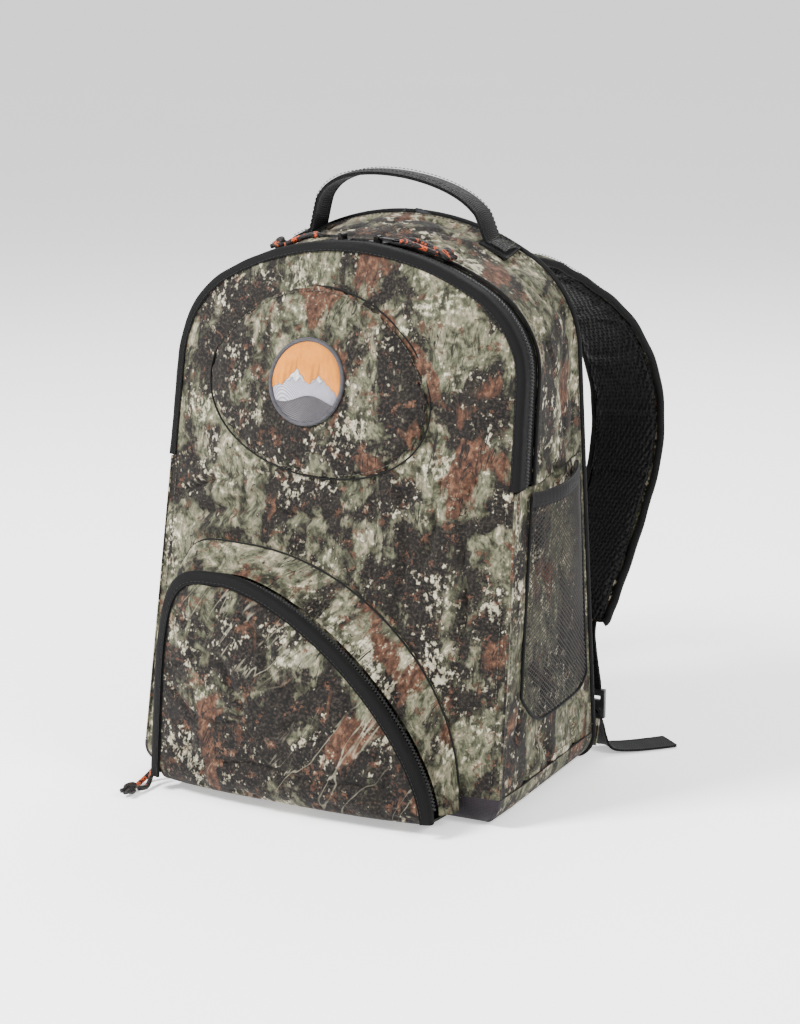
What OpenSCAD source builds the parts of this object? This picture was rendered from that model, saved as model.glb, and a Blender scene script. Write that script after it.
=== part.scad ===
// Hunting daypack with an arched zip opening, a D-shaped front pocket, mesh
// side pockets, padded shoulder straps, a webbing grab handle and cord pulls.
// The front faces -Y, the back +Y, and the origin is the centre of the base.

/* [Bag] */
// Height of the front arch at its crown
front_h = 425; // [410:1:435]
// Extra height of the back arch, as a share of the front arch
back_rise = 0.035; // [0.02:0.005:0.05]
// Narrowing of the back arch, as a share of the front arch
back_narrow = 0.04; // [0.02:0.005:0.06]
// Place of the back at the base, measured from the origin
back_base_y = 85; // [80:1:90]
// Forward lean of the back, per millimetre of height
back_lean = 0.07; // [0.05:0.01:0.09]
// Place of the front arch at its crown, measured from the origin
crown_y = -50; // [-55:1:-45]
// Backward lean of the front below the crown, per millimetre of height
front_lean = 0.16; // [0.14:0.01:0.18]
// Doming of the front panel at its middle
front_dome = 20; // [14:1:24]

/* [Arch] */
// Radius of the crown, along which the two main sliders travel
crown_r = 220; // [210:1:230]
// Half of the angle that the crown spans
crown_a = 30; // [28:1:31]
// Radius of the shoulders between the crown and the legs
shoulder_r = 80; // [74:1:84]
// Radius of the bottom corners
corner_r = 22; // [18:1:26]
// Length of the outline from the crown's middle to an end of the main zip
zip_half = 275; // [265:1:285]

/* [Cloth and trim] */
// Thickness of a body panel
panel_t = 2; // [1.6:0.1:2.2]
// Thickness of webbing
web_t = 1.6; // [1.4:0.1:1.8]
// Width of webbing
web_w = 25; // [23:1:26]
// Width of the main zip's cover band
cover_w = 15; // [13:0.5:15.5]
// Diameter of the pull cords
cord_d = 4; // [3.6:0.1:4.2]

/* [Front pocket] */
// Half of the width of the pocket's zip arch
pocket_hw = 119; // [116:1:121]
// Height of the top of the pocket's zip arch
pocket_top = 172; // [165:1:178]
// How far the pocket's seam on the bag lies outside its zip at the left
seam_left = 19; // [17:1:21]
// How far the seam lies outside the zip at the right foot
seam_right = 8; // [7:1:10]
// Height of the top of the pocket's seam on the bag
seam_top = 194; // [190:1:200]
// Place of the pocket's face at the floor, measured from the origin
pocket_y = -150; // [-154:1:-146]

/* [Straps and handle] */
// Width of a shoulder strap at its widest
strap_w = 64; // [58:1:66]
// Thickness of a shoulder strap's outer cloth and foam
strap_shell_t = 4.5; // [4:0.1:5]
// Thickness of a shoulder strap's air mesh lining
strap_lining_t = 4; // [3.5:0.1:4.5]
// Half of the span of the grab handle
handle_half = 77; // [74:1:80]
// Height of the grab handle's top above the floor
handle_top = 474; // [470:1:484]

/* [Hidden] */

gap = 0.5;              // clearance between neighbouring cloth panels
lean_z = 350;           // height below which the front starts to lean
straight_t = 35;        // depth of the zip band, which has no taper
leg_a = 88.4;           // direction of the arch's legs, from upright
dome_power = 2.5;       // how flat the front's dome stays in the middle
zip_end = zip_half;     // where the main zip stops on the outline
chain_t = 21;           // depth of the middle of the zip chain
pull_lift = 4;          // height of a pull's pin above the chain's skin
rest_a = 4;             // angle of a main slider from the crown's middle

crown_z = front_h - crown_r;
shoulder_x = (crown_r - shoulder_r) * sin(crown_a);
shoulder_z = crown_z + (crown_r - shoulder_r) * cos(crown_a);
leg_x = shoulder_x + shoulder_r * sin(leg_a);
leg_z = shoulder_z + shoulder_r * cos(leg_a);
leg_end_z = corner_r * (1 + cos(leg_a));
leg_len = (leg_z - leg_end_z) / sin(leg_a);
corner_x = leg_x + leg_len * cos(leg_a) - corner_r * sin(leg_a);

// Lengths along the outline at which each stretch ends
end_crown = crown_r * crown_a * PI / 180;
end_shoulder = end_crown + shoulder_r * (leg_a - crown_a) * PI / 180;
end_leg = end_shoulder + leg_len;
end_corner = end_leg + corner_r * (180 - leg_a) * PI / 180;
end_base = end_corner + corner_x;

// Angle of the outline's outward normal from +Z towards +X
function normal_angle(s) =
    s < end_crown ? s / crown_r * 180 / PI :
    s < end_shoulder ? crown_a + (s - end_crown) / shoulder_r * 180 / PI :
    s < end_leg ? leg_a :
    s < end_corner ? leg_a + (s - end_leg) / corner_r * 180 / PI : 180;

function on_arc(x, z, r, a) = [x + r * sin(a), z + r * cos(a)];

// Point of the right half of the front outline at a length s from the crown
function right_outline(s) = let (a = normal_angle(s))
    s < end_crown ? on_arc(0, crown_z, crown_r, a) :
    s < end_shoulder ? on_arc(shoulder_x, shoulder_z, shoulder_r, a) :
    s < end_leg ? [leg_x, leg_z] + (s - end_shoulder) * [cos(leg_a), -sin(leg_a)] :
    s < end_corner ? on_arc(corner_x, corner_r, corner_r, a) :
    [corner_x - (s - end_corner), 0];

// Point of the outline, o inside it; s is negative on the left
function outline(s, o) =
    let (q = right_outline(abs(s)), a = normal_angle(abs(s)), side = s < 0 ? -1 : 1)
    [side * (q.x - o * sin(a)), q.y - o * cos(a)];

function front_y(z) = crown_y - front_lean * max(0, lean_z - z);
function back_y(z) = back_base_y - back_lean * z;
function back_face_y(z) = back_y(z / (1 + back_rise));
function depth(z) = back_y(z) - front_y(z);

// Point of the bag's sides: s round the outline, t behind its front, o inside
function skin(s, t, o) =
    let (q = outline(s, o),
         d = max(0, t - straight_t) / (depth(q.y) - straight_t))
    [q.x * (1 - back_narrow * d), front_y(q.y) + t, q.y * (1 + back_rise * d)];

// The same, with t counted forward from the back
function rear_skin(s, t, o) = skin(s, depth(outline(s, o).y) - t, o);

function half_width(z) =
    z > crown_z + crown_r * cos(crown_a) ? sqrt(max(0, crown_r * crown_r - pow(z - crown_z, 2))) :
    z > leg_z ? shoulder_x + sqrt(shoulder_r * shoulder_r - pow(z - shoulder_z, 2)) :
    z > leg_end_z ? leg_x + (leg_z - z) / tan(leg_a) :
    corner_x + sqrt(max(0, corner_r * corner_r - pow(corner_r - z, 2)));

function dome(z) = front_dome * pow(max(0, sin(180 * max(0, min(1, z / (front_h + 3))))), 0.6);

// Place of the front panel's outer face
function face_y(x, z) =
    front_y(z) - dome(z) * (1 - pow(min(1, abs(x) / max(1, half_width(z) - 3)), dome_power));

function span(a, b, n) = [for (i = [0:n]) a + (b - a) * i / n];

// Rows of a face between the two halves of the outline, crown to base
function front_rows(stops, across, lift) = [for (s = stops)
    let (q = outline(s, 3)) [for (p = across) [p * q.x, face_y(p * q.x, q.y) - lift, q.y]]];

function back_rows(stops, across, lift, o) = [for (s = stops)
    let (q = rear_skin(s, 0, o)) [for (p = across) [-p * q.x, q.y + lift, q.z]]];

function row_normal(g, i, j) =
    let (r = len(g) - 1, c = len(g[0]) - 1,
         u = g[min(i + 1, r)][j] - g[max(i - 1, 0)][j],
         v = g[i][min(j + 1, c)] - g[i][max(j - 1, 0)],
         n = cross(u, v))
    n / norm(n);

// Grid moved along its own normals
function moved(g, h) = [for (i = [0:len(g) - 1])
    [for (j = [0:len(g[0]) - 1]) g[i][j] + h * row_normal(g, i, j)]];

function flat_list(g) = [for (row = g) each row];

// Closed solid between an outer and an inner grid of equal size
module between(outer, inner) {
    r = len(outer);
    c = len(outer[0]);
    n = r * c;
    cells = [for (i = [0:r - 2]) for (j = [0:c - 2]) i * c + j];
    rim = concat(
        [for (j = [0:c - 2]) [j + 1, j]],
        [for (i = [0:r - 2]) [i * c, (i + 1) * c]],
        [for (j = [0:c - 2]) [(r - 1) * c + j, (r - 1) * c + j + 1]],
        [for (i = [0:r - 2]) [(i + 2) * c - 1, (i + 1) * c - 1]]);
    faces = concat(
        [for (k = cells) each [[k, k + 1, k + c + 1], [k, k + c + 1, k + c]]],
        [for (k = cells) each [[n + k, n + k + c + 1, n + k + 1], [n + k, n + k + c, n + k + c + 1]]],
        [for (e = rim) each [[e[0], e[1], n + e[1]], [e[0], n + e[1], n + e[0]]]]);
    polyhedron(concat(flat_list(outer), flat_list(inner)), faces, convexity = 8);
}

// Sheet of thickness t behind a grid of points
module cloth(g, t) {
    between(g, moved(g, -t));
}

module on_side(side) {
    if (side < 0) mirror([1, 0, 0]) children();
    else children();
}

// ---- Curves through hand-placed points ----

function spline_at(p, i, u) =
    let (n = len(p) - 1, a = p[max(i - 1, 0)], b = p[i], c = p[min(i + 1, n)], d = p[min(i + 2, n)])
    0.5 * (2 * b + (c - a) * u + (2 * a - 5 * b + 4 * c - d) * u * u
        + (3 * b - a - 3 * c + d) * u * u * u);

function spline(p, steps) = [for (k = [0:(len(p) - 1) * steps])
    let (i = min(floor(k / steps), len(p) - 2)) spline_at(p, i, k / steps - i)];

function unit(v) = v / norm(v);
function tangent(p, i) = unit(p[min(i + 1, len(p) - 1)] - p[max(i - 1, 0)]);

// Grid of a band along a path: its width runs along the direction across
function band(path, across, widths, cols) = [for (i = [0:len(path) - 1])
    let (t = tangent(path, i), w = unit(across - (across * t) * t))
    [for (p = span(-0.5, 0.5, cols)) path[i] + p * widths[i] * w]];

module webbing(path, across) {
    cloth(band(path, across, [for (p = path) web_w], 2), web_t);
}

// Round cord along a path
module tube(path, d, sides) {
    m = len(path);
    pts = [for (i = [0:m - 1])
        let (t = tangent(path, i), u = unit(cross(t, [0.31, 0.2, 0.93])), v = cross(t, u))
        for (k = [0:sides - 1]) path[i] + d / 2 * (cos(360 * k / sides) * u + sin(360 * k / sides) * v)];
    wall = [for (i = [0:m - 2]) for (k = [0:sides - 1])
        let (a = i * sides + k, b = i * sides + (k + 1) % sides)
        each [[a, a + sides, b + sides], [a, b + sides, b]]];
    ends = [[for (k = [0:sides - 1]) k], [for (k = [sides - 1:-1:0]) (m - 1) * sides + k]];
    polyhedron(pts, concat(wall, ends), convexity = 4);
}

// ---- Bag panels ----

camo = "#6d6a58";
black = "#232325";
halves = span(-1, 1, 8);

module back_panel() {
    color(black) cloth(back_rows(concat([7], span(25, end_corner - 6, 20)), halves, 0, 0), panel_t + 1);
}

// Domed pad on the back, between two widths and two heights
module back_pad(x0, x1, z0, z1, thick) {
    outer = [for (z = span(z1, z0, 8)) [for (x = span(x1, x0, 6))
        let (u = (2 * x - x0 - x1) / (x1 - x0), v = (2 * z - z0 - z1) / (z1 - z0))
        [x, back_face_y(z) + 2 + thick * sqrt(max(0, (1 - pow(u, 4)) * (1 - pow(v, 6)))), z]]];
    inner = [for (row = outer) [for (p = row) [p.x, back_face_y(p.z) + gap, p.z]]];
    between(outer, inner);
}

module back_pad_left() {
    color(black) mirror([1, 0, 0]) back_pad(22, 104, 135, 360, 9);
}
module back_pad_right() {
    color(black) back_pad(22, 104, 135, 360, 9);
}
module lumbar_pad() {
    color(black) back_pad(-106, 106, 45, 118, 10);
}

module frame_sheet() {
    color("#d8d8d2") cloth(back_rows(span(60, end_leg - 20, 14), halves, -5, 14), 1.5);
}

module inner_sleeve() {
    color("#3a3a3c") cloth(back_rows(span(110, end_leg - 40, 8), span(-0.85, 0.85, 6), -9.5, 14), 1);
}

module top_gusset() {
    stops = span(-zip_end, zip_end, 44);
    color(camo) cloth([for (s = stops)
        let (end = depth(outline(s, 0).y) - panel_t - 1 - gap)
        [for (t = span(30, end, 3)) skin(s, t, 0)]], panel_t);
}

module side_panel() {
    color(camo) cloth([for (s = span(zip_end + gap, end_leg - gap, 9))
        let (end = depth(outline(s, 0).y) - panel_t - 1 - gap)
        [for (t = span(0, end, 4)) skin(s, t, 0)]], panel_t);
}
module side_panel_left() {
    mirror([1, 0, 0]) side_panel();
}
module side_panel_right() {
    side_panel();
}

module base_panel() {
    half = concat(span(end_leg, end_corner, 5), [end_base]);
    stops = concat(half, [for (i = [5:-1:0]) -half[i]]);
    color("#2b262d") cloth([for (s = stops)
        let (end = depth(outline(s, 0).y) - panel_t - 1 - gap)
        [for (t = span(0, end, 4)) skin(s, t, 0)]], panel_t);
}

module front_lower_panel() {
    color(camo) cloth(front_rows(concat(span(zip_end, end_leg, 8), span(end_leg + 12, end_corner - 10, 3)),
        span(-1, 1, 10), 0), panel_t);
}

// ---- Main flap ----

flap_end = zip_end - 1;

module front_panel() {
    stops = concat(span(8, end_shoulder, 9), span(end_shoulder + 25, flap_end, 3));
    color(camo) cloth(front_rows(stops, span(-1, 1, 10), 0), panel_t);
}

// Oval padded panel on the flap, a little to the left as worn in front
oval_c = [-15, 322];
oval_r = [98, 71];
oval_tilt = -8;

function oval_grid(c, r, tilt, lift, rings, sectors) = [for (v = span(-1, 1, rings))
    let (w = sqrt(1 - v * v * 0.985))
    [for (u = span(-1, 1, sectors))
        let (a = u * w * r.x, b = -v * r.y, x = c.x + a * cos(tilt) - b * sin(tilt),
             z = c.y + a * sin(tilt) + b * cos(tilt),
             e = max(0, 1 - u * u * w * w - v * v))
        [x, face_y(x, z) - lift - 4.4 * pow(e, 0.5), z]]];

module badge_panel() {
    g = oval_grid(oval_c, oval_r, oval_tilt, 1.6, 10, 8);
    color("#6f5a45") between(g, [for (row = g) [for (p = row) [p.x, face_y(p.x, p.z) - 0.6, p.z]]]);
}

patch_c = [-20, 322];
patch_r = [33, 31];

module badge_patch() {
    g = oval_grid(patch_c, patch_r, 0, 8.4, 8, 6);
    flat = [for (row = g) [for (p = row) [p.x, face_y(patch_c.x, patch_c.y) - 9.6
        + 0.13 * (p.z - patch_c.y) - 0.02 * abs(p.x - patch_c.x), p.z]]];
    color("#8d8a92") cloth(flat, 1.4);
}

module main_zip_cover() {
    color(black) cloth([for (s = span(-flap_end, flap_end, 44))
        [for (t = span(0, cover_w, 2)) skin(s, t, 0)]], 2.4);
}

module flap_zip_tape() {
    color(black) cloth([for (s = span(-flap_end, flap_end, 36))
        [skin(s, 3.4, 3), skin(s, 17.8, 3)]], 1);
}

// ---- Main zip, on the bag ----

module main_zip_chain() {
    color("#1b1b1d") cloth([for (s = span(-flap_end, flap_end, 48))
        [skin(s, chain_t - 2.5, 1), skin(s, chain_t + 2.5, 1)]], 2.6);
}

module gusset_zip_tape() {
    color(black) cloth([for (s = span(-flap_end, flap_end, 36))
        [skin(s, 24.2, 3), skin(s, 34, 3)]], 1);
}

// Slider over a chain: travel along X, across along Y, outward +Z, z = 0 at the skin
module slider() {
    translate([-7, -4, -0.4]) cube([14, 8, 1.6]);
    for (side = [-1, 1]) {
        translate([-7, side * 3.5 - 0.5, -2.4]) cube([14, 1, 2.2]);
        translate([-2, side * 3.4 - 0.6, 1]) cube([4, 1.2, 4.4]);
    }
    translate([0, 4, pull_lift]) rotate([90, 0, 0]) cylinder(h = 8, r = 0.9, $fn = 24);
}

// Pull tab that lies along +X from its pin, with a hole for the cord
module pull_tab() {
    difference() {
        union() {
            translate([0, 2.6, pull_lift]) rotate([90, 0, 0]) cylinder(h = 5.2, r = 2, $fn = 24);
            translate([1, -2.6, pull_lift - 0.8]) cube([15, 5.2, 1.6]);
            translate([16, 0, pull_lift - 0.8]) cylinder(h = 1.6, r = 4.2, $fn = 32);
        }
        translate([0, 5, pull_lift]) rotate([90, 0, 0]) cylinder(h = 10, r = 1.1, $fn = 24);
        translate([16, 0, 0]) cylinder(h = 10, r = 2.4, $fn = 24);
    }
}

// Puts a slider's own frame on the crown, with its pull pointing outwards
module on_crown(side) {
    q = on_arc(0, crown_z, crown_r, rest_a);
    on_side(side) translate([q.x, crown_y + chain_t, q.y]) rotate([0, rest_a, 0]) children();
}

// Routes of a main pull's two strands in the slider's own frame, tab to knot
main_route_a = [[21.5, -2.4, 4], [26, -4.6, 5], [32, -5.6, 4], [38.5, -4.8, 2.4], [45, -2.4, 0.4],
    [51, 0.4, -2]];
main_route_b = [[21.5, 2.4, 4], [26, 5.2, 5.2], [32, 7.6, 4.2], [39, 8.4, 2.4], [46, 7.4, 0.2],
    [51, 5.6, -2]];

module main_cord(side, route) {
    color("#c8642a") on_crown(side) tube(spline(route, 2), cord_d, 8);
}

module main_knot(side) {
    color("#2a2422") on_crown(side) translate([58, 3, -1.6]) rotate([0, 105, 0])
        cylinder(h = 11, r = 5.4, center = true, $fn = 20);
}

module main_slider_left() {
    color(black) on_crown(-1) slider();
}
module main_slider_right() {
    color(black) on_crown(1) slider();
}
module main_pull_left() {
    color(black) on_crown(-1) pull_tab();
}
module main_pull_right() {
    color(black) on_crown(1) pull_tab();
}
module main_cord_left_a() {
    main_cord(-1, main_route_a);
}
module main_cord_left_b() {
    main_cord(-1, main_route_b);
}
module main_cord_right_a() {
    main_cord(1, main_route_a);
}
module main_cord_right_b() {
    main_cord(1, main_route_b);
}
module main_knot_left() {
    main_knot(-1);
}
module main_knot_right() {
    main_knot(1);
}

// ---- Front pocket ----

pocket_low = 12;        // height of the pocket's lower edge
pocket_peak = -64;      // place of the zip arch's peak, left of the middle
pocket_lean = 0.1;      // backward lean of the pocket's face
pocket_bulge = 14;      // doming of the pocket's face
pocket_cover = 13;      // width of the pocket's zip cover
pocket_chain = 18;      // depth of the pocket's slider behind its face
pocket_rest = 40;       // height of the pocket slider at rest
left_power = 5;         // squareness of the arch left of its peak
right_power = 1.5;      // squareness of the zip arch right of its peak
seam_power = 2;         // the same for the seam

// Arch that rises steeply at the left and falls slowly to its right foot;
// a runs from -90 at the left foot through 0 at the peak to 90
function arch(left, right, top, power, a) =
    let (q = a < 0 ? left_power : power, w = a < 0 ? pocket_peak + left : right - pocket_peak,
         c = abs(cos(a)), c1 = abs(a) > 89.99 ? 0 : pow(c, 2 / q), s1 = pow(abs(sin(a)), 2 / q))
    [pocket_peak + sign(a) * w * s1, pocket_low + (top - pocket_low) * c1];

function zip_arch(a, o) = arch(pocket_hw - o, pocket_hw - o, pocket_top - o, right_power, a);
function seam_arch(a) = arch(pocket_hw + seam_left, pocket_hw + seam_right, seam_top, seam_power, a);

function pocket_plane_y(z) = pocket_y + pocket_lean * z;

// Point of the pocket's side, from its zip (u = 0) to its seam (u = 1)
function pocket_side(a, u) =
    let (f = zip_arch(a, 0), b = seam_arch(a),
         fy = pocket_plane_y(f.y) + pocket_chain + 4.6, by = face_y(b.x, b.y) - 1.6)
    [f.x + (b.x - f.x) * u, fy + (by - fy) * u, f.y + (b.y - f.y) * u];

// Point of the pocket's zip arch, t behind its face and o inside it
function pocket_edge(a, t, o) = let (f = zip_arch(a, o)) [f.x, pocket_plane_y(f.y) + t, f.y];

arch_stops = concat([-90, -87, -82, -75, -66, -56, -45, -34, -24, -15, -8, -3], [0, 8], span(16, 90, 18));

module pocket_gusset() {
    color(camo) cloth([for (a = arch_stops) [for (u = span(0.02, 0.97, 3)) pocket_side(a, u)]], panel_t);
}

module pocket_floor() {
    color("#2b262d") cloth([for (x = span(pocket_hw - 7, 7 - pocket_hw, 6))
        [for (u = span(0, 1, 2)) [x, pocket_y + 7 + 32 * u, 8 - 2 * u]]], 1.6);
}

module pocket_zip_tape() {
    color(black) cloth([for (a = arch_stops)
        [pocket_edge(a, pocket_cover + 1, 2.8), pocket_edge(a, pocket_chain + 2, 2.8)]], 1.4);
}

module pocket_zip_cover() {
    color(black) cloth([for (a = arch_stops) [for (t = span(0, pocket_cover, 2))
        pocket_edge(a, t, -1.5 * sin(180 * t / pocket_cover))]], 2.4);
}

// Place of the zip arch's side at a height h, as a share of its own
function arch_x(side, h) = let (q = side < 0 ? left_power : right_power)
    pocket_peak + (side * (pocket_hw - 3.4) - pocket_peak) * pow(max(0, 1 - pow(h, q)), 1 / q);

module pocket_face() {
    stops = concat([0.995, 0.98, 0.95], span(0.9, 0, 10));
    color(camo) cloth([for (h = stops)
        let (z = pocket_low + (pocket_top - 3.4 - pocket_low) * h, x0 = arch_x(-1, h), x1 = arch_x(1, h),
             swell = pocket_bulge * pow(sin(180 * (0.12 + 0.86 * h)), 0.6))
        [for (p = span(-1, 1, 10))
            [(x0 + x1) / 2 + p * (x1 - x0) / 2, pocket_plane_y(z) - swell * (1 - pow(abs(p), 3)), z]]], panel_t);
}

// Puts a slider's own frame on the left leg of the pocket's zip, pull downwards
module on_pocket_leg() {
    translate([-pocket_hw, pocket_plane_y(pocket_rest) + pocket_chain, pocket_rest])
        rotate([-atan(pocket_lean), 0, 0]) rotate([0, 90, 180]) children();
}

module pocket_slider() {
    color(black) on_pocket_leg() slider();
}

// The pocket's pull stands a little off its leg
module pocket_pull() {
    color(black) on_pocket_leg() translate([0, 0, pull_lift]) rotate([0, -15, 0])
        translate([0, 0, -pull_lift]) pull_tab();
}

// Routes of the pocket pull's two strands, from the pull tab to the knot
pocket_route_a = [[-129, -126, 17], [-133, -129, 10], [-136, -136, 4.6], [-136, -145, 2.6],
    [-134, -154, 2.6], [-132, -161, 4]];
pocket_route_b = [[-128, -133.5, 17], [-128.5, -139, 10], [-126.5, -146, 5], [-125, -153, 3],
    [-126.5, -161, 4.2]];

module pocket_cord_a() {
    color("#c8642a") tube(spline(pocket_route_a, 2), cord_d, 8);
}
module pocket_cord_b() {
    color("#2a2422") tube(spline(pocket_route_b, 2), cord_d, 8);
}
module pocket_knot() {
    color("#2a2422") translate([-129.5, -169, 6]) rotate([90, 0, 0])
        cylinder(h = 12, r = 5.4, center = true, $fn = 20);
}

// ---- Mesh side pockets ----

mesh_top = 288;         // outline length at which a mesh pocket's top lies
mesh_low = 458;         // outline length at which its lower edge lies
mesh_open = 13;         // how far its top stands off the side
binding_w = 7;          // width of its elastic binding

// Point of a mesh pocket: s down the outline, v from its front to its rear edge
function mesh_at(s, v) =
    let (low = (s - mesh_top) / (mesh_low - mesh_top), t0 = 24, t1 = depth(outline(s, 0).y) - 14)
    skin(s, t0 + v * (t1 - t0), -1.4 - mesh_open * sin(180 * v) * (1 - 0.8 * low * low));

module mesh_pocket() {
    color("#2e2e30") cloth([for (s = span(mesh_top, mesh_low, 8))
        [for (v = span(0.02, 0.98, 8)) mesh_at(s, v)]], 1);
}
module mesh_binding() {
    color(black) cloth([for (s = [mesh_top - binding_w, mesh_top - gap])
        [for (v = span(0.02, 0.98, 8)) mesh_at(s, v)]], 1.8);
}
module mesh_pocket_left() {
    mirror([1, 0, 0]) mesh_pocket();
}
module mesh_pocket_right() {
    mesh_pocket();
}
module mesh_binding_left() {
    mirror([1, 0, 0]) mesh_binding();
}
module mesh_binding_right() {
    mesh_binding();
}

// ---- Grab handle ----

handle_y = 42;          // place of the handle's middle
handle_foot = 424;      // height of the handle's fold

module handle_anchor() {
    color(black) cloth([for (s = span(70, 94, 3)) [for (t = span(80, 102, 2)) skin(s, t, -2)]], 1.4);
}
module handle_anchor_left() {
    mirror([1, 0, 0]) handle_anchor();
}
module handle_anchor_right() {
    handle_anchor();
}

module grab_handle() {
    path = [for (a = span(6, 173, 20)) let (b = 180 * pow(a / 180, 0.82))
        [-handle_half * cos(a), handle_y, handle_foot + (handle_top - handle_foot) * pow(sin(b), 0.8)]];
    color(black) cloth(band(path, [0, 1, 0], [for (p = path) web_w], 2), 1.6 * web_t);
}

// ---- Shoulder straps ----

strap_route = [[62, 78, 404], [70, 108, 404], [86, 152, 381], [107, 190, 345], [121, 212, 294],
    [127, 206, 236], [129, 168, 180], [131, 122, 130], [132, 104, 106]];
strap_end_w = 44;       // width of a strap at its two ends

module strap_layer(lift, t) {
    path = spline(strap_route, 3);
    last = len(path) - 1;
    widths = [for (i = [0:last]) strap_end_w + (strap_w - strap_end_w) * pow(sin(180 * i / last), 0.6)];
    cloth(moved(band(path, [-1, 0.1, 0], widths, 4), lift), t);
}

module strap_yoke() {
    color(black) cloth([for (z = [412, 392, 372]) [for (x = span(80, -80, 4))
        [x, back_face_y(z) + 2.6, z]]], panel_t);
}
module strap_shell_left() {
    color(camo) mirror([1, 0, 0]) strap_layer(0, strap_shell_t);
}
module strap_shell_right() {
    color(camo) strap_layer(0, strap_shell_t);
}
module strap_lining_left() {
    color(black) mirror([1, 0, 0]) strap_layer(-strap_shell_t - gap, strap_lining_t);
}
module strap_lining_right() {
    color(black) strap_layer(-strap_shell_t - gap, strap_lining_t);
}

lock_x = 138;           // middle of a ladder lock
lock_z = 30;            // height of its lower edge

module strap_webbing() {
    color(black) webbing(spline([[132.4, 101, 100], [134, 100.6, 86], [136, 100.8, 72], [lock_x, 101.4, 58]], 2),
        [-1, 0, 0]);
}
module strap_webbing_left() {
    mirror([1, 0, 0]) strap_webbing();
}
module strap_webbing_right() {
    strap_webbing();
}

module anchor_wing() {
    color(camo) cloth([[[116, 88.5, 14], [134, 88.5, 14], [152, 88.5, 14]],
        [[122, 97, 27], [lock_x, 97, 27], [152, 97, 27]]], panel_t);
}
module anchor_wing_left() {
    mirror([1, 0, 0]) anchor_wing();
}
module anchor_wing_right() {
    anchor_wing();
}

// Three-bar webbing adjuster that stands on an anchor wing
module ladder_lock() {
    color("#1c1c1e") translate([lock_x - 16.5, 99, lock_z]) difference() {
        cube([33, 4, 24]);
        for (z = [4, 15]) translate([3.5, -1, z]) cube([26, 6, 3.6]);
    }
}
module ladder_lock_left() {
    mirror([1, 0, 0]) ladder_lock();
}
module ladder_lock_right() {
    ladder_lock();
}

tail_route = [[142, 107, 24], [146, 107, 12], [153, 109, 4], [165, 118, 1.2], [180, 134, 0.5], [193, 149, 0.4]];

module webbing_tail() {
    color(black) webbing(spline(tail_route, 3), [1, -0.6, 0]);
}
module webbing_tail_left() {
    mirror([1, 0, 0]) webbing_tail();
}
module webbing_tail_right() {
    webbing_tail();
}

back_panel();
back_pad_left();
back_pad_right();
lumbar_pad();
frame_sheet();
inner_sleeve();
top_gusset();
side_panel_left();
side_panel_right();
base_panel();
front_lower_panel();
front_panel();
badge_panel();
badge_patch();
main_zip_cover();
flap_zip_tape();
main_zip_chain();
gusset_zip_tape();
main_slider_left();
main_slider_right();
main_pull_left();
main_pull_right();
main_cord_left_a();
main_cord_left_b();
main_cord_right_a();
main_cord_right_b();
main_knot_left();
main_knot_right();
pocket_gusset();
pocket_floor();
pocket_zip_tape();
pocket_face();
pocket_zip_cover();
pocket_slider();
pocket_pull();
pocket_cord_a();
pocket_cord_b();
pocket_knot();
mesh_pocket_left();
mesh_pocket_right();
mesh_binding_left();
mesh_binding_right();
handle_anchor_left();
handle_anchor_right();
grab_handle();
strap_yoke();
strap_shell_left();
strap_shell_right();
strap_lining_left();
strap_lining_right();
strap_webbing_left();
strap_webbing_right();
anchor_wing_left();
anchor_wing_right();
ladder_lock_left();
ladder_lock_right();
webbing_tail_left();
webbing_tail_right();
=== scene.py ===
import math
import bpy
import numpy as np
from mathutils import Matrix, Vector, noise


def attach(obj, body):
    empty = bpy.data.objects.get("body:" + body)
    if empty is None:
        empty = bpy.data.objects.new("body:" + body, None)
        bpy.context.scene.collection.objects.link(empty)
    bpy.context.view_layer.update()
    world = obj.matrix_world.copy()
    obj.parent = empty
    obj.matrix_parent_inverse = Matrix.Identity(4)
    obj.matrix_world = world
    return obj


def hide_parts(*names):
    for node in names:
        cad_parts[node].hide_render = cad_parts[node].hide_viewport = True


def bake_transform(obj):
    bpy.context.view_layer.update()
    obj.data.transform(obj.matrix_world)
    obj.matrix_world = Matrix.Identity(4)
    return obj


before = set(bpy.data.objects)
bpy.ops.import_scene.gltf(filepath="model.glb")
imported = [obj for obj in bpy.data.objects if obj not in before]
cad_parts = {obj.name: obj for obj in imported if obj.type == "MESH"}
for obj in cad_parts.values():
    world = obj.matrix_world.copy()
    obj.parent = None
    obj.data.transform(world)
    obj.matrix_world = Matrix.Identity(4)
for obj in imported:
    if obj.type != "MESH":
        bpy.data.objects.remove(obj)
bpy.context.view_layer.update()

MM = 0.001


# ---- Camera: its direction in degrees and its distance from a point in the bag ----

VIEW_AZIMUTH, VIEW_ELEVATION = 28, 13
VIEW_DISTANCE, VIEW_LENS = 2.0, 89
VIEW_TARGET = Vector((0.020, -0.002, 0.209))


def aimed(name, data, azimuth, elevation, distance):
    """Camera or light that looks at the target from a direction, in degrees."""
    a, e = math.radians(azimuth), math.radians(elevation)
    back = Vector((math.sin(a) * math.cos(e), -math.cos(a) * math.cos(e), math.sin(e)))
    obj = bpy.data.objects.new(name, data)
    bpy.context.collection.objects.link(obj)
    obj.location = VIEW_TARGET + back * distance
    obj.rotation_euler = back.to_track_quat("Z", "Y").to_euler()
    return obj


def make_camera():
    data = bpy.data.cameras.new("camera")
    data.lens, data.sensor_width = VIEW_LENS, 36
    bpy.context.scene.camera = aimed("camera", data, VIEW_AZIMUTH, VIEW_ELEVATION, VIEW_DISTANCE)


make_camera()


# ---- The bag's shape, in millimetres, by the same rules as the CAD ----

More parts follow.
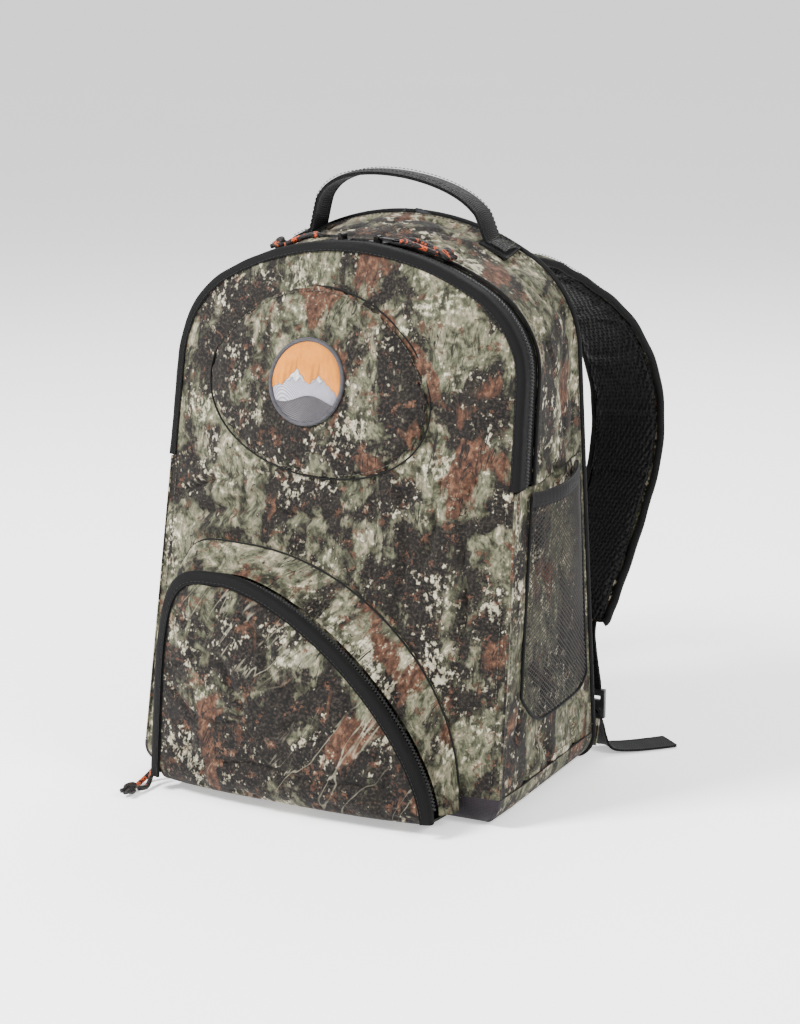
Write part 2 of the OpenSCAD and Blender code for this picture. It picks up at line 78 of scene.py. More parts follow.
FRONT_H, BACK_RISE, BACK_NARROW = 425, 0.035, 0.04
BACK_BASE_Y, BACK_LEAN = 85, 0.07
CROWN_Y, FRONT_LEAN, LEAN_Z = -50, 0.16, 350
FRONT_DOME, DOME_POWER = 20, 2.5
CROWN_R, CROWN_A = 220, math.radians(30)
SHOULDER_R, CORNER_R = 80, 22
LEG_A = math.radians(88.4)
ZIP_END, STRAIGHT_T = 275, 35

CROWN_Z = FRONT_H - CROWN_R
SHOULDER_X = (CROWN_R - SHOULDER_R) * math.sin(CROWN_A)
SHOULDER_Z = CROWN_Z + (CROWN_R - SHOULDER_R) * math.cos(CROWN_A)
LEG_X = SHOULDER_X + SHOULDER_R * math.sin(LEG_A)
LEG_Z = SHOULDER_Z + SHOULDER_R * math.cos(LEG_A)
LEG_END_Z = CORNER_R * (1 + math.cos(LEG_A))
LEG_LEN = (LEG_Z - LEG_END_Z) / math.sin(LEG_A)
CORNER_X = LEG_X + LEG_LEN * math.cos(LEG_A) - CORNER_R * math.sin(LEG_A)
END_CROWN = CROWN_R * CROWN_A
END_SHOULDER = END_CROWN + SHOULDER_R * (LEG_A - CROWN_A)
END_LEG = END_SHOULDER + LEG_LEN
END_CORNER = END_LEG + CORNER_R * (math.pi - LEG_A)
END_BASE = END_CORNER + CORNER_X


def normal_angle(s):
    """Angle of the outline's outward normal at a length s from the crown."""
    return np.select(
        [s < END_CROWN, s < END_SHOULDER, s < END_LEG, s < END_CORNER],
        [s / CROWN_R, CROWN_A + (s - END_CROWN) / SHOULDER_R, LEG_A + 0 * s,
         LEG_A + (s - END_LEG) / CORNER_R], math.pi)


def outline(s, o=0.0):
    """Place and height of the front outline, o inside it; s is negative on the left."""
    side, s = np.where(np.asarray(s) < 0, -1.0, 1.0), np.abs(np.asarray(s, float))
    a = normal_angle(s)
    x = np.select(
        [s < END_CROWN, s < END_SHOULDER, s < END_LEG, s < END_CORNER],
        [CROWN_R * np.sin(a), SHOULDER_X + SHOULDER_R * np.sin(a),
         LEG_X + (s - END_SHOULDER) * math.cos(LEG_A), CORNER_X + CORNER_R * np.sin(a)],
        CORNER_X - (s - END_CORNER))
    z = np.select(
        [s < END_CROWN, s < END_SHOULDER, s < END_LEG, s < END_CORNER],
        [CROWN_Z + CROWN_R * np.cos(a), SHOULDER_Z + SHOULDER_R * np.cos(a),
         LEG_Z - (s - END_SHOULDER) * math.sin(LEG_A), CORNER_R + CORNER_R * np.cos(a)], 0.0)
    return side * (x - o * np.sin(a)), z - o * np.cos(a)


def front_y(z):
    """Place of the front outline at a height."""
    return CROWN_Y - FRONT_LEAN * np.maximum(0, LEAN_Z - z)


def depth(z):
    """Distance from the front outline to the back at a height of the front outline."""
    return BACK_BASE_Y - BACK_LEAN * z - front_y(z)


def skin(s, t, o=0.0):
    """Point of the bag's sides: s round the outline, t behind its front, o inside."""
    x, z = outline(s, o)
    d = np.maximum(0, t - STRAIGHT_T) / (depth(z) - STRAIGHT_T)
    return np.stack([x * (1 - BACK_NARROW * d), front_y(z) + t, z * (1 + BACK_RISE * d)], -1)


def back_face_y(z):
    """Place of the back at a real height."""
    return BACK_BASE_Y - BACK_LEAN * z / (1 + BACK_RISE)


def half_width(z):
    """Half of the front outline's width at a height."""
    z = np.asarray(z, float)
    crown = np.sqrt(np.maximum(0, CROWN_R**2 - (z - CROWN_Z)**2))
    shoulder = SHOULDER_X + np.sqrt(np.maximum(0, SHOULDER_R**2 - (z - SHOULDER_Z)**2))
    leg = LEG_X + (LEG_Z - z) / math.tan(LEG_A)
    corner = CORNER_X + np.sqrt(np.maximum(0, CORNER_R**2 - (CORNER_R - z)**2))
    return np.select([z > CROWN_Z + CROWN_R * math.cos(CROWN_A), z > LEG_Z, z > LEG_END_Z],
                     [crown, shoulder, leg], corner)


def face_y(x, z):
    """Place of the front panel's outer face."""
    dome = FRONT_DOME * np.maximum(0, np.sin(np.pi * np.clip(z / (FRONT_H + 3), 0, 1)))**0.6
    across = np.minimum(1, np.abs(x) / np.maximum(1, half_width(z) - 3))
    return front_y(z) - dome * (1 - across**DOME_POWER)


# ---- Mesh tools: grids of points in millimetres become closed sheets in metres ----

SIDES = ((-1, "left"), (1, "right"))


def mesh_grid(rows, cols):
    """The row value and the column value at each point of a grid."""
    return np.meshgrid(rows, cols, indexing="ij")


def run_length(points, axis=0):
    """Length covered along one axis of a path or grid of points."""
    steps = np.diff(points, axis=axis, prepend=np.take(points, [0], axis))
    return np.cumsum(np.linalg.norm(steps, axis=-1), axis)


def grid_normals(points):
    n = np.cross(np.gradient(points, axis=0), np.gradient(points, axis=1))
    return n / np.maximum(np.linalg.norm(n, axis=2, keepdims=True), 1e-9)


def pushed(points, lift):
    """Grid of points moved along its normals by lift millimetres."""
    return points + grid_normals(points) * lift[..., None]


def new_object(name, verts, faces, materials, body=None, slot=None, node=None):
    """Smooth mesh object; node names the CAD nodes that it stands for."""
    mesh = bpy.data.meshes.new(name)
    mesh.from_pydata((np.asarray(verts) * MM).tolist(), [], [list(map(int, f)) for f in faces])
    mesh.validate()
    mesh.update()
    obj = bpy.data.objects.new(name, mesh)
    bpy.context.collection.objects.link(obj)
    for m in materials:
        mesh.materials.append(m)
    mesh.polygons.foreach_set("use_smooth", [True] * len(mesh.polygons))
    if body:
        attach(obj, body)
    if node:
        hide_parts(*node.split())
    return obj


def set_pattern(obj, x, y, seed):
    """Stores where each vertex lies on its flat cloth, in millimetres, for the materials."""
    values = np.stack([x * MM, y * MM, 0 * x + seed], -1)
    attribute = obj.data.attributes.new("pat", "FLOAT_VECTOR", "POINT")
    attribute.data.foreach_set("vector", np.asarray(values, np.float32).ravel())


def sheet_faces(rows, cols):
    """Faces of a closed sheet: its outer side, its inner side and its rim."""
    k = (np.arange(rows - 1)[:, None] * cols + np.arange(cols - 1)[None, :]).ravel()
    n = rows * cols
    outer = np.stack([k, k + cols, k + cols + 1, k + 1], 1)
    inner = np.stack([n + k, n + k + 1, n + k + cols + 1, n + k + cols], 1)
    j, i = np.arange(cols - 1), np.arange(rows - 1)
    last = (rows - 1) * cols
    rims = [(j + 1, j), (i * cols, (i + 1) * cols), (last + j, last + j + 1),
            ((i + 2) * cols - 1, (i + 1) * cols - 1)]
    rim = np.concatenate([np.stack([n + b, b, a, n + a], 1)[:, ::-1] for a, b in rims])
    return outer, inner, rim


def cloth_sheet(name, points, thick, outer, inner, body=None, seed=0.0, flat=None, slot=None, node=None):
    """Closed sheet behind a grid of outer points; flat is its pattern, in millimetres."""
    back = pushed(points, np.full(points.shape[:2], -float(thick)))
    front_faces, back_faces, rim = sheet_faces(*points.shape[:2])
    obj = new_object(name, np.concatenate([points.reshape(-1, 3), back.reshape(-1, 3)]),
                     np.concatenate([front_faces, back_faces, rim]), [outer, inner], body, slot, node)
    index = np.zeros(len(obj.data.polygons), np.int32)
    index[len(front_faces):len(front_faces) + len(back_faces)] = 1
    obj.data.polygons.foreach_set("material_index", index)
    x, y = flat or (run_length(points, 1), run_length(points, 0))
    set_pattern(obj, np.tile(np.ravel(x + 0 * y), 2), np.tile(np.ravel(y + 0 * x), 2), seed)
    return obj


def noise_at(points, scale, stretch=(1, 1, 1), seed=0):
    """Smooth noise from -1 to 1 over points, with features about scale millimetres wide."""
    q = points.reshape(-1, 3) / (scale * np.asarray(stretch, float)) + seed * 17.3
    values = [noise.noise(Vector(p)) for p in q]
    return np.asarray(values).reshape(points.shape[:-1])


def crease(points, scale, stretch=(1, 1, 1), seed=0):
    """Narrow folds: ridges where the noise crosses zero, from 0 to 1."""
    return np.clip(1 - np.abs(noise_at(points, scale, stretch, seed)) * 5, 0, 1)**2


def spline(points, steps):
    """Curve through given points."""
    p = np.asarray(points, float)
    last = len(p) - 1
    result = []
    for k in range(last * steps + 1):
        i = min(k // steps, last - 1)
        u = k / steps - i
        a, b, c, d = p[max(i - 1, 0)], p[i], p[min(i + 1, last)], p[min(i + 2, last)]
        result.append(0.5 * (2 * b + (c - a) * u + (2 * a - 5 * b + 4 * c - d) * u * u
                             + (3 * b - a - 3 * c + d) * u**3))
    return np.asarray(result)


def tangents(path):
    """Unit direction at each point of a path."""
    t = np.gradient(path, axis=0)
    return t / np.linalg.norm(t, axis=1, keepdims=True)


def path_frames(path, across):
    """Width direction and normal at each point of a path."""
    t = tangents(path)
    w = np.broadcast_to(np.asarray(across, float), path.shape)
    w = w - np.sum(w * t, 1, keepdims=True) * t
    w /= np.linalg.norm(w, axis=1, keepdims=True)
    return w, np.cross(t, w)


def ring_faces(rings, sides, closed=False):
    """Faces between rings of points, with caps unless the rings close on themselves."""
    k = np.arange(sides)
    faces = []
    for i in range(rings if closed else rings - 1):
        a, b = i * sides, (i + 1) % rings * sides
        faces += np.stack([a + k, a + (k + 1) % sides, b + (k + 1) % sides, b + k], 1).tolist()
    if not closed:
        faces += [list(range(sides))[::-1], list(range((rings - 1) * sides, rings * sides))]
    return faces


def tube_mesh(path, radius, sides, closed=False):
    """Vertices and faces of a round tube; radius may change along the path."""
    path = np.asarray(path, float)
    t = np.roll(path, -1, 0) - np.roll(path, 1, 0) if closed else np.gradient(path, axis=0)
    t /= np.linalg.norm(t, axis=1, keepdims=True)
    u = np.cross(t[0], [0.31, 0.2, 0.93])
    a = np.arange(sides)[:, None] * 2 * np.pi / sides
    rings = []
    for p, axis, r in zip(path, t, np.broadcast_to(radius, (len(path),))):
        u = u - axis * np.dot(u, axis)
        u /= np.linalg.norm(u)
        rings.append(p + r * (np.cos(a) * u + np.sin(a) * np.cross(axis, u)))
    return np.concatenate(rings), ring_faces(len(path), sides, closed)


def merged(parts):
    """Joins several (vertices, faces) meshes into one."""
    verts, faces, base = [], [], 0
    for v, f in parts:
        verts.append(np.asarray(v, float))
        faces += [[base + i for i in face] for face in f]
        base += len(v)
    return np.concatenate(verts), faces


def resample(path, pitch):
    """Points at equal steps along a path, and the direction at each."""
    length = run_length(path)
    at = np.arange(pitch / 2, length[-1], pitch)
    points = np.stack([np.interp(at, length, path[:, k]) for k in range(3)], 1)
    return points, tangents(points)


# ---- Materials: every pattern is worked out by nodes, in metres along the cloth ----


def rgb(text):
    """Linear colour of a hex string."""
    values = [int(text[i:i + 2], 16) / 255 for i in (0, 2, 4)]
    return tuple(v / 12.92 if v < 0.04045 else ((v + 0.055) / 1.055)**2.4 for v in values) + (1,)


class Shader:
    """One material; an input of a node is another node's output or a constant."""

    def __init__(self, name, **constants):
        self.material = bpy.data.materials.new(name)
        self.material.use_nodes = True
        self.tree = self.material.node_tree
        self.bsdf = self.tree.nodes["Principled BSDF"]
        for key, value in constants.items():
            self.put(self.bsdf.inputs[key.replace("_", " ")], value)

    def put(self, socket, value):
        if isinstance(value, bpy.types.NodeSocket):
            self.tree.links.new(value, socket)
        else:
            socket.default_value = value

    def node(self, kind, inputs=(), out=0, **settings):
        n = self.tree.nodes.new("ShaderNode" + kind)
        for key, value in settings.items():
            setattr(n, key, value)
        for key, value in dict(inputs).items():
            self.put(n.inputs[key], value)
        return n.outputs[out]

    def pattern(self):
        """Place on the flat cloth, stored on the mesh."""
        return self.node("Attribute", out=1, attribute_name="pat")

    def object_place(self):
        return self.node("TexCoord", out=3)

    def scaled(self, vector, x, y, z=1.0):
        return self.node("VectorMath", {0: vector, 1: (x, y, z)}, operation="MULTIPLY")

    def moved(self, vector, x, y):
        return self.node("VectorMath", {0: vector, 1: (x, y, 0)}, operation="ADD")

    def turned(self, vector, degrees):
        return self.node("VectorRotate", {"Vector": vector, "Angle": math.radians(degrees)})

    def noise(self, vector, size, detail=3.0, rough=0.55, distortion=0.0):
        """Noise from 0 to 1 with features of about size metres."""
        return self.node("TexNoise", {"Vector": vector, "Scale": 0.5 / size, "Detail": detail,
                                      "Roughness": rough, "Distortion": distortion})

    def bands(self, vector, pitch, direction="X", distortion=0.0):
        """Sine bands, from 0 to 1, pitch metres apart."""
        return self.node("TexWave", {"Vector": vector, "Scale": math.pi / 10 / pitch,
                                     "Distortion": distortion}, 1, bands_direction=direction)

    def cells(self, vector, size):
        return self.node("TexVoronoi", {"Vector": vector, "Scale": 1 / size, "Randomness": 0.3})

    def math(self, operation, a, b=0.5):
        return self.node("Math", {0: a, 1: b}, operation=operation)

    def times(self, a, b):
        return self.math("MULTIPLY", a, b)

    def inverse(self, value):
        return self.math("SUBTRACT", 1.0, value)

    def total(self, *terms):
        """Sum of (value, weight) terms."""
        first = self.times(*terms[0])
        return self.math("ADD", first, self.total(*terms[1:])) if len(terms) > 1 else first

    def line(self, value, middle, inner, outer):
        """1 where value is close to middle, 0 further off."""
        return self.inverse(self.step(self.math("ABSOLUTE", self.math("SUBTRACT", value, middle)),
                                      inner, outer))

    def step(self, value, low, high):
        """0 below low, 1 above high, straight between."""
        return self.node("MapRange", {0: value, 1: low, 2: high, 3: 0.0, 4: 1.0})

    def mix(self, factor, a, b):
        return self.node("Mix", {0: factor, 6: a, 7: b}, 2, data_type="RGBA")

    def ramp(self, value, *stops):
        """Colour ramp; each stop is (place, hex colour)."""
        n = self.tree.nodes.new("ShaderNodeValToRGB")
        while len(n.color_ramp.elements) < len(stops):
            n.color_ramp.elements.new(0.5)
        for element, (place, colour) in zip(n.color_ramp.elements, stops):
            element.position = place
            element.color = rgb(colour)
        self.put(n.inputs[0], value)
        return n.outputs[0]

    def bump(self, *layers):
        """Stacks (height, metres) bumps under the shader's normal."""
        normal = None
        for height, distance in layers:
            inputs = {"Height": height, "Distance": distance, "Strength": 1.0}
            if normal is not None:
                inputs["Normal"] = normal
            normal = self.node("Bump", inputs)
        self.put(self.bsdf.inputs["Normal"], normal)

    def colour(self, value):
        self.put(self.bsdf.inputs["Base Color"], value)

    def roughness(self, value, low, high):
        self.put(self.bsdf.inputs["Roughness"],
                 self.node("MapRange", {0: value, 1: 0.0, 2: 1.0, 3: low, 4: high}))


WEAVE_PITCH = 0.0009
CAMO_BASE = ((0.37, "15130f"), (0.43, "2c2b21"), (0.46, "38392b"), (0.49, "454737"), (0.52, "585745"),
             (0.56, "625e4d"), (0.585, "78715e"), (0.65, "928a74"))
CAMO_BARK = ((0.36, "050404"), (0.52, "110e0d"), (0.68, "29231f"))
CAMO_CREAM = ((0.35, "7a7460"), (0.5, "a09a84"), (0.65, "cac3ad"))
CAMO_RUST = ((0.3, "1f1510"), (0.5, "412b20"), (0.7, "634736"))


def weave_height(s, place, pitch=WEAVE_PITCH):
    """Plain weave: threads that pass over and under each other."""
    return s.times(s.bands(place, pitch, "X"), s.bands(place, pitch, "Y"))


class Camouflage(Shader):
    """Bark and lichen print on a plain woven polyester."""

    def __init__(self, name, rust=0.0, twigs=0.0, dark=0.0):
        super().__init__(name, Sheen_Weight=0.03, Sheen_Roughness=0.6, Specular_IOR_Level=0.12)
        self.place = self.pattern()
        self.fine = self.noise(self.scaled(self.place, 1.0, 0.72), 0.0021, 2.0, 0.7)
        self.grain = self.layer(3.1, 1.7, 0.0011, 1.0, 0.6)
        self.mottle = self.layer(0.7, 2.9, 0.0065, 4.0, 0.7, 0.9, stretch=0.7)
        self.bark = self.layer(5.2, 0.4, 0.010, 4.0, 0.62, 0.5, stretch=0.3)
        self.cream = self.ramp(self.mottle, *CAMO_CREAM)
        self.print = self.ramp(self.total((self.mottle, 0.72), (self.fine, 0.28)), *CAMO_BASE)
        self.add_bark(dark)
        self.add_lichen()
        self.add_rust(rust)
        self.add_cracks(8 + 40 * twigs)
        if twigs:
            self.add_twigs(twigs)
        self.colour(self.print)
        self.roughness(self.mottle, 0.72, 0.9)
        self.bump((weave_height(self, self.place), 0.00012), (self.noise(self.place, 0.012, 3.0), 0.0006))

    def layer(self, x, y, *noise, stretch=None, place=None):
        """Noise on a shifted place; stretch below 1 makes it streaks along the cloth."""
        at = self.moved(place or self.place, x, y)
        return self.noise(self.scaled(at, 1.0, stretch) if stretch else at, *noise)

    def paint(self, factor, colour):
        self.print = self.mix(factor, self.print, colour)

    def add_bark(self, dark):
        """Broad dark shapes whose edges break into flecks."""
        blotch = self.layer(1.3, 4.1, 0.034, 3.0, 0.6, 0.8)
        value = self.total((blotch, 0.62), (self.bark, 0.36), (self.fine, 0.2))
        self.paint(self.times(self.step(value, 0.580 - dark, 0.625 - dark), 0.97),
                   self.ramp(self.grain, *CAMO_BARK))

    def add_lichen(self):
        """Cream flecks and a few larger flakes."""
        value = self.total((self.layer(2.2, 9.4, 0.022, 4.0, 0.7), 0.55), (self.fine, 0.5))
        self.paint(self.times(self.step(value, 0.580, 0.640), 0.85), self.cream)

    def add_rust(self, rust):
        """Rust-brown leaves, broken by flecks, and small rust spots."""
        tone = self.ramp(self.fine, *CAMO_RUST)
        patches = self.layer(8.3, 6.1, 0.034, 2.0, 0.5, 0.5)
        leaves = self.step(self.total((patches, 0.7), (self.bark, 0.32)), 0.60 - rust, 0.625 - rust)
        flecks = self.step(self.total((self.grain, 0.5), (self.mottle, 0.5)), 0.565, 0.59)
        self.paint(self.times(leaves, self.inverse(self.times(flecks, 0.8))), tone)
        spots = self.step(self.layer(6.6, 3.3, 0.0055, 4.0, 0.75), 0.585, 0.61)
        self.paint(self.times(spots, 0.8), tone)

    def add_cracks(self, lean):
        """Thin dark lines that lean by some degrees."""
        upright = self.turned(self.place, lean)
        cracks = self.layer(4.4, 7.7, 0.0075, 3.0, 0.6, 1.2, stretch=0.16, place=upright)
        gap = self.step(self.layer(9.1, 2.2, 0.03, 2.0), 0.50, 0.56)
        self.paint(self.times(self.line(cracks, 0.5, 0.004, 0.014), gap), rgb("151312"))

    def add_twigs(self, share):
        """Long pale strands that lean over."""
        lean = self.turned(self.moved(self.place, 2.4, 1.9), 34)
        strands = self.noise(self.scaled(lean, 1.0, 0.2), 0.016, 3.0, 0.5, 1.4)
        gate = self.step(self.layer(7.1, 8.2, 0.03, 2.0), 0.51, 0.58)
        twig = self.line(strands, 0.52, 0.004, 0.012)
        self.paint(self.times(self.times(twig, gate), share), self.cream)


def plain_cloth(name, dark, light, weave=WEAVE_PITCH, crumple=0.0004, rough=(0.6, 0.8), sheen=0.03):
    """Woven cloth of one dye: thread pitch, worn light patches, small crumples."""
    s = Shader(name, Sheen_Weight=sheen, Sheen_Roughness=0.5, Specular_IOR_Level=0.14)
    p = s.pattern()
    wear = s.noise(p, 0.03, 4.0, 0.6)
    thread = weave_height(s, p, weave)
    s.colour(s.ramp(s.total((wear, 0.75), (thread, 0.25)), (0.3, dark), (0.62, light)))
    s.roughness(wear, *rough)
    s.bump((thread, 0.00018), (s.noise(p, 0.007, 3.0), crumple))
    return s.material


def webbing_cloth(name, dark, light):
    """Narrow webbing: ribs across it and pairs of chevrons along it."""
    s = Shader(name, Sheen_Weight=0.02, Sheen_Roughness=0.4, Specular_IOR_Level=0.14)
    p = s.pattern()
    ribs = s.bands(p, 0.0016, "Y")
    chevron = s.times(s.bands(s.turned(p, 38), 0.0022), s.bands(s.turned(p, -38), 0.0022))
    tone = s.total((ribs, 0.35), (s.noise(p, 0.012, 3.0), 0.65))
    s.colour(s.ramp(tone, (0.32, dark), (0.68, light)))
    s.roughness(ribs, 0.75, 0.5)
    s.bump((ribs, 0.0003), (chevron, 0.00022))
    return s.material


def air_mesh(name, dark, light, pitch, ribbed):
    """Spacer mesh: rows of small holes, with raised diagonal ribs if ribbed."""
    s = Shader(name, Sheen_Weight=0.0, Sheen_Roughness=0.5, Specular_IOR_Level=0.16)
    p = s.pattern()
    hole = s.step(s.cells(s.scaled(p, 1.0, 0.8, 0.0), pitch), 0.22, 0.42)
    ribs = s.bands(s.turned(p, 24), 0.0042) if ribbed else s.noise(p, 0.01)
    s.colour(s.ramp(s.total((hole, 0.5), (ribs, 0.5)), (0.2, dark), (0.95, light)))
    s.roughness(hole, 0.95, 0.65)
    s.bump((ribs, 0.0007), (hole, 0.0006))
    return s.material


def moulded(name, colour, worn, rough, grain, metallic=0.0):
    """Moulded plastic or painted metal with a fine grain and rubbed spots."""
    s = Shader(name, Metallic=metallic, Specular_IOR_Level=0.5)
    p = s.object_place()
    rubbed = s.noise(p, 0.004, 4.0, 0.65)
    s.colour(s.ramp(rubbed, (0.45, colour), (0.75, worn)))
    s.roughness(rubbed, rough - 0.08, rough + 0.14)
    s.bump((s.noise(p, 0.0007, 2.0), grain))
    return s.material


def braided(name, main, fleck, share):
    """Braided cord sheath; share is how much of it the second colour takes."""
    s = Shader(name, Sheen_Weight=0.06, Sheen_Roughness=0.4, Specular_IOR_Level=0.3)
    p = s.pattern()
    braid = s.math("MAXIMUM", s.bands(s.turned(p, 32), 0.0017), s.bands(s.turned(p, -32), 0.0017))
    tracer = s.step(s.noise(s.scaled(p, 1.0, 0.8), 0.0024, 1.0), 0.5 - share, 0.53 - share)
    colour = s.mix(tracer, rgb(main), rgb(fleck))
    s.colour(s.mix(s.step(braid, 0.75, 0.2), colour, rgb("120d0b")))
    s.roughness(braid, 0.8, 0.55)
    s.bump((braid, 0.0004))
    return s.material


def embroidery(name, dark, light, angle):
    """Satin stitch: fine slanted threads with a silky highlight."""
    s = Shader(name, Sheen_Weight=0.1, Sheen_Roughness=0.3, Specular_IOR_Level=0.3)
    p = s.pattern()
    threads = s.bands(s.turned(p, angle), 0.0009, "X", 0.6)
    tone = s.total((threads, 0.5), (s.noise(p, 0.003, 3.0), 0.5))
    s.colour(s.ramp(tone, (0.3, dark), (0.7, light)))
    s.roughness(threads, 0.62, 0.42)
    s.bump((threads, 0.0003))
    return s.material


CAMO = Camouflage("camo", dark=0.015).material
CAMO_LOW = Camouflage("camo_low", twigs=0.3, dark=0.05).material
CAMO_BADGE = Camouflage("camo_badge", rust=0.04, dark=0.085).material
CAMO_SIDE = Camouflage("camo_side", dark=0.012).material
LINING = plain_cloth("lining", "1c1d1f", "34363a", rough=(0.5, 0.7))
COATED = plain_cloth("coated_cloth", "120f12", "272127", 0.0012, 0.0008, (0.42, 0.6))
TRIM = plain_cloth("zip_trim", "020202", "070707", 0.0008, 0.0003, (0.72, 0.86), 0.01)
BINDING = plain_cloth("binding", "040404", "0c0c0c", 0.0007, 0.0004, sheen=0.02)
ELASTIC = plain_cloth("elastic_binding", "0e0d0e", "1c1b1c", 0.0011, 0.0005, (0.65, 0.85), 0.03)
TAPE = plain_cloth("zip_tape", "040404", "0b0b0b", 0.0006, 0.0002, sheen=0.02)
WEBBING = webbing_cloth("webbing", "030303", "0e0e0f")
AIR_MESH = air_mesh("air_mesh", "010101", "100f0f", 0.0030, True)
BACK_MESH = air_mesh("back_mesh", "0b0b0b", "232224", 0.0040, False)
COIL = moulded("zip_coil", "0d0d0e", "1d1d1f", 0.45, 0.00003)
SLIDER = moulded("slider_metal", "131314", "4b4a48", 0.32, 0.00004, 0.85)
PLASTIC = moulded("buckle_plastic", "121213", "262628", 0.42, 0.00008)
BOARD = moulded("stiffener", "161617", "222223", 0.6, 0.00006)
NET = plain_cloth("pocket_net", "2c2a29", "4e4c4a", 0.0005, 0.0001)
THREAD = plain_cloth("thread", "121112", "2b2a2b", 0.0005, 0.0001)
PALE_THREAD = plain_cloth("pale_thread", "33312c", "5c594f", 0.0005, 0.0001)
CORD_ORANGE = braided("cord_orange", "b8440c", "140d0b", 0.03)
CORD_BLACK = braided("cord_black", "100c0b", "8f3d16", -0.06)
PATCH_GROUND = embroidery("patch_ground", "77747f", "a5a2ac", 45)
PATCH_ORANGE = embroidery("patch_orange", "ad5a06", "e0901c", 12)
PATCH_EDGE = embroidery("patch_edge", "1f1f22", "46454a", 80)
PATCH_PALE = embroidery("patch_pale", "a9a8ac", "e4e2e2", -30)
PATCH_DARK = embroidery("patch_dark", "2a282b", "4a474b", 60)


# ---- Stitches, and the cord pulls: the routes repeat the CAD's own points ----

STITCH_PITCH, STITCH_LEN, STITCH_R = 3.6, 2.5, 0.34


def stitches(name, path, material=PALE_THREAD, body="root"):
    """A row of thread stitches along a path that lies on the cloth."""
    parts = []
    for p, axis in zip(*resample(path, STITCH_PITCH)):
        line = p + axis * STITCH_LEN * np.array([[-0.5], [-0.3], [0.3], [0.5]])
        parts.append(tube_mesh(line, np.array([0.4, 1, 1, 0.4]) * STITCH_R, 5))
    return new_object(name, *merged(parts), [material], body)


CORD_D = 4.0
REST_A = math.radians(4)
SLIDER_Y = CROWN_Y + 21

MAIN_ROUTES = ([[21.5, -2.4, 4], [26, -4.6, 5], [32, -5.6, 4], [38.5, -4.8, 2.4], [45, -2.4, 0.4],
                [51, 0.4, -2]],
               [[21.5, 2.4, 4], [26, 5.2, 5.2], [32, 7.6, 4.2], [39, 8.4, 2.4], [46, 7.4, 0.2],
                [51, 5.6, -2]])
MAIN_KNOT = (58, 3, -1.6)
POCKET_ROUTES = ([[-129, -126, 17], [-133, -129, 10], [-136, -136, 4.6], [-136, -145, 2.6],
                  [-134, -154, 2.6], [-132, -161, 4]],
                 [[-128, -133.5, 17], [-128.5, -139, 10], [-126.5, -146, 5], [-125, -153, 3],
                  [-126.5, -161, 4.2]])
POCKET_KNOT = (-129.5, -169, 6)


def on_crown(points, side):
    """Moves points from a main slider's own frame onto the crown."""
    p = np.asarray(points, float)
    c, s = math.cos(REST_A), math.sin(REST_A)
    x = p[:, 0] * c + p[:, 2] * s + CROWN_R * s
    z = p[:, 2] * c - p[:, 0] * s + CROWN_Z + CROWN_R * c
    return np.stack([side * x, p[:, 1] + SLIDER_Y, z], 1)


def tube_object(name, path, radius, sides, material, body, slot=None, node=None):
    """Round tube whose pattern runs along and round it."""
    obj = new_object(name, *tube_mesh(path, radius, sides), [material], body, slot, node)
    angle = np.tile(np.arange(sides), len(path)) * 2 * np.pi / sides
    set_pattern(obj, np.abs(angle - np.pi) * radius, np.repeat(run_length(path), sides), float(len(name)))
    return obj


def loop_tube(name, path, radius, sides, material, body, slot, axes=None):
    """Closed round tube; axes says which of x, y and z its pattern takes, in order."""
    verts, faces = tube_mesh(path, radius, sides, closed=True)
    obj = new_object(name, verts, faces, [material], body, slot)
    if axes:
        set_pattern(obj, *verts[:, axes[:2]].T, verts[:, axes[2]] * MM)


def knot_path(centre, axis, length, radius, turns=3, steps=26):
    """Overhand knot pulled tight: a trefoil along its axis, a unit vector."""
    t = np.linspace(0, 2 * np.pi, turns * steps, endpoint=False)
    shape = np.stack([np.sin(t) + 2 * np.sin(2 * t), np.cos(t) - 2 * np.cos(2 * t), -np.sin(3 * t)], 1)
    shape[:, :2] *= (radius - 2.0) / 3
    shape[:, 2] *= length / 2 - 2.0
    u = np.cross(axis, [0.2, 0.3, 0.93])
    u /= np.linalg.norm(u)
    return np.asarray(centre) + shape @ np.stack([u, np.cross(axis, u), axis])


def make_knot(name, centre, axis, length, body, node):
    """Knot with two short sealed tails that point away from the cords."""
    a = np.asarray(axis, float) / np.linalg.norm(axis)
    side = np.cross(a, [0, 0, 1.0])
    parts = [tube_mesh(knot_path(centre, a, length, 5.4), 2.0, 10, closed=True)]
    for k in (-1, 1):
        start = np.asarray(centre) + a * (length / 2 - 2.5) + side * 1.8 * k
        tail = [start, start + a * 2.4 + side * 0.6 * k, start + a * 4.6 + side * 1.6 * k]
        parts.append(tube_mesh(spline(tail, 3), np.array([1.9] * 6 + [1.2]), 10))
    verts, faces = merged(parts)
    obj = new_object(name, verts, faces, [CORD_BLACK], body, "cord_black", node)
    x, y, z = (verts @ np.array([[0.6, 0.5, 0.2], [0.4, -0.7, 0.3], [0.7, 0.3, 0.1]])).T
    set_pattern(obj, x, y, z * MM)
    return obj


def make_cord(name, route, body, node, material, slot):
    path = spline(route, 4)
    obj = tube_object(name, path, CORD_D / 2, 12, material, body, slot, node)
    length = float(run_length(path)[-1]) * MM


def make_pull(label, routes, centre, axis, length, node):
    """Two cords and the knot that ends them; node is the pattern of their CAD names."""
    body = "pull_" + label
    knot = make_knot("knot_" + label, centre, axis, length, body, node % "knot")
    for route, key, material, slot in zip(routes, "ab", (CORD_ORANGE, CORD_BLACK),
                                          ("cord_orange", "cord_black")):
        make_cord("cord_%s_%s" % (label, key), route, body, node % "cord" + "_" + key, material, slot)


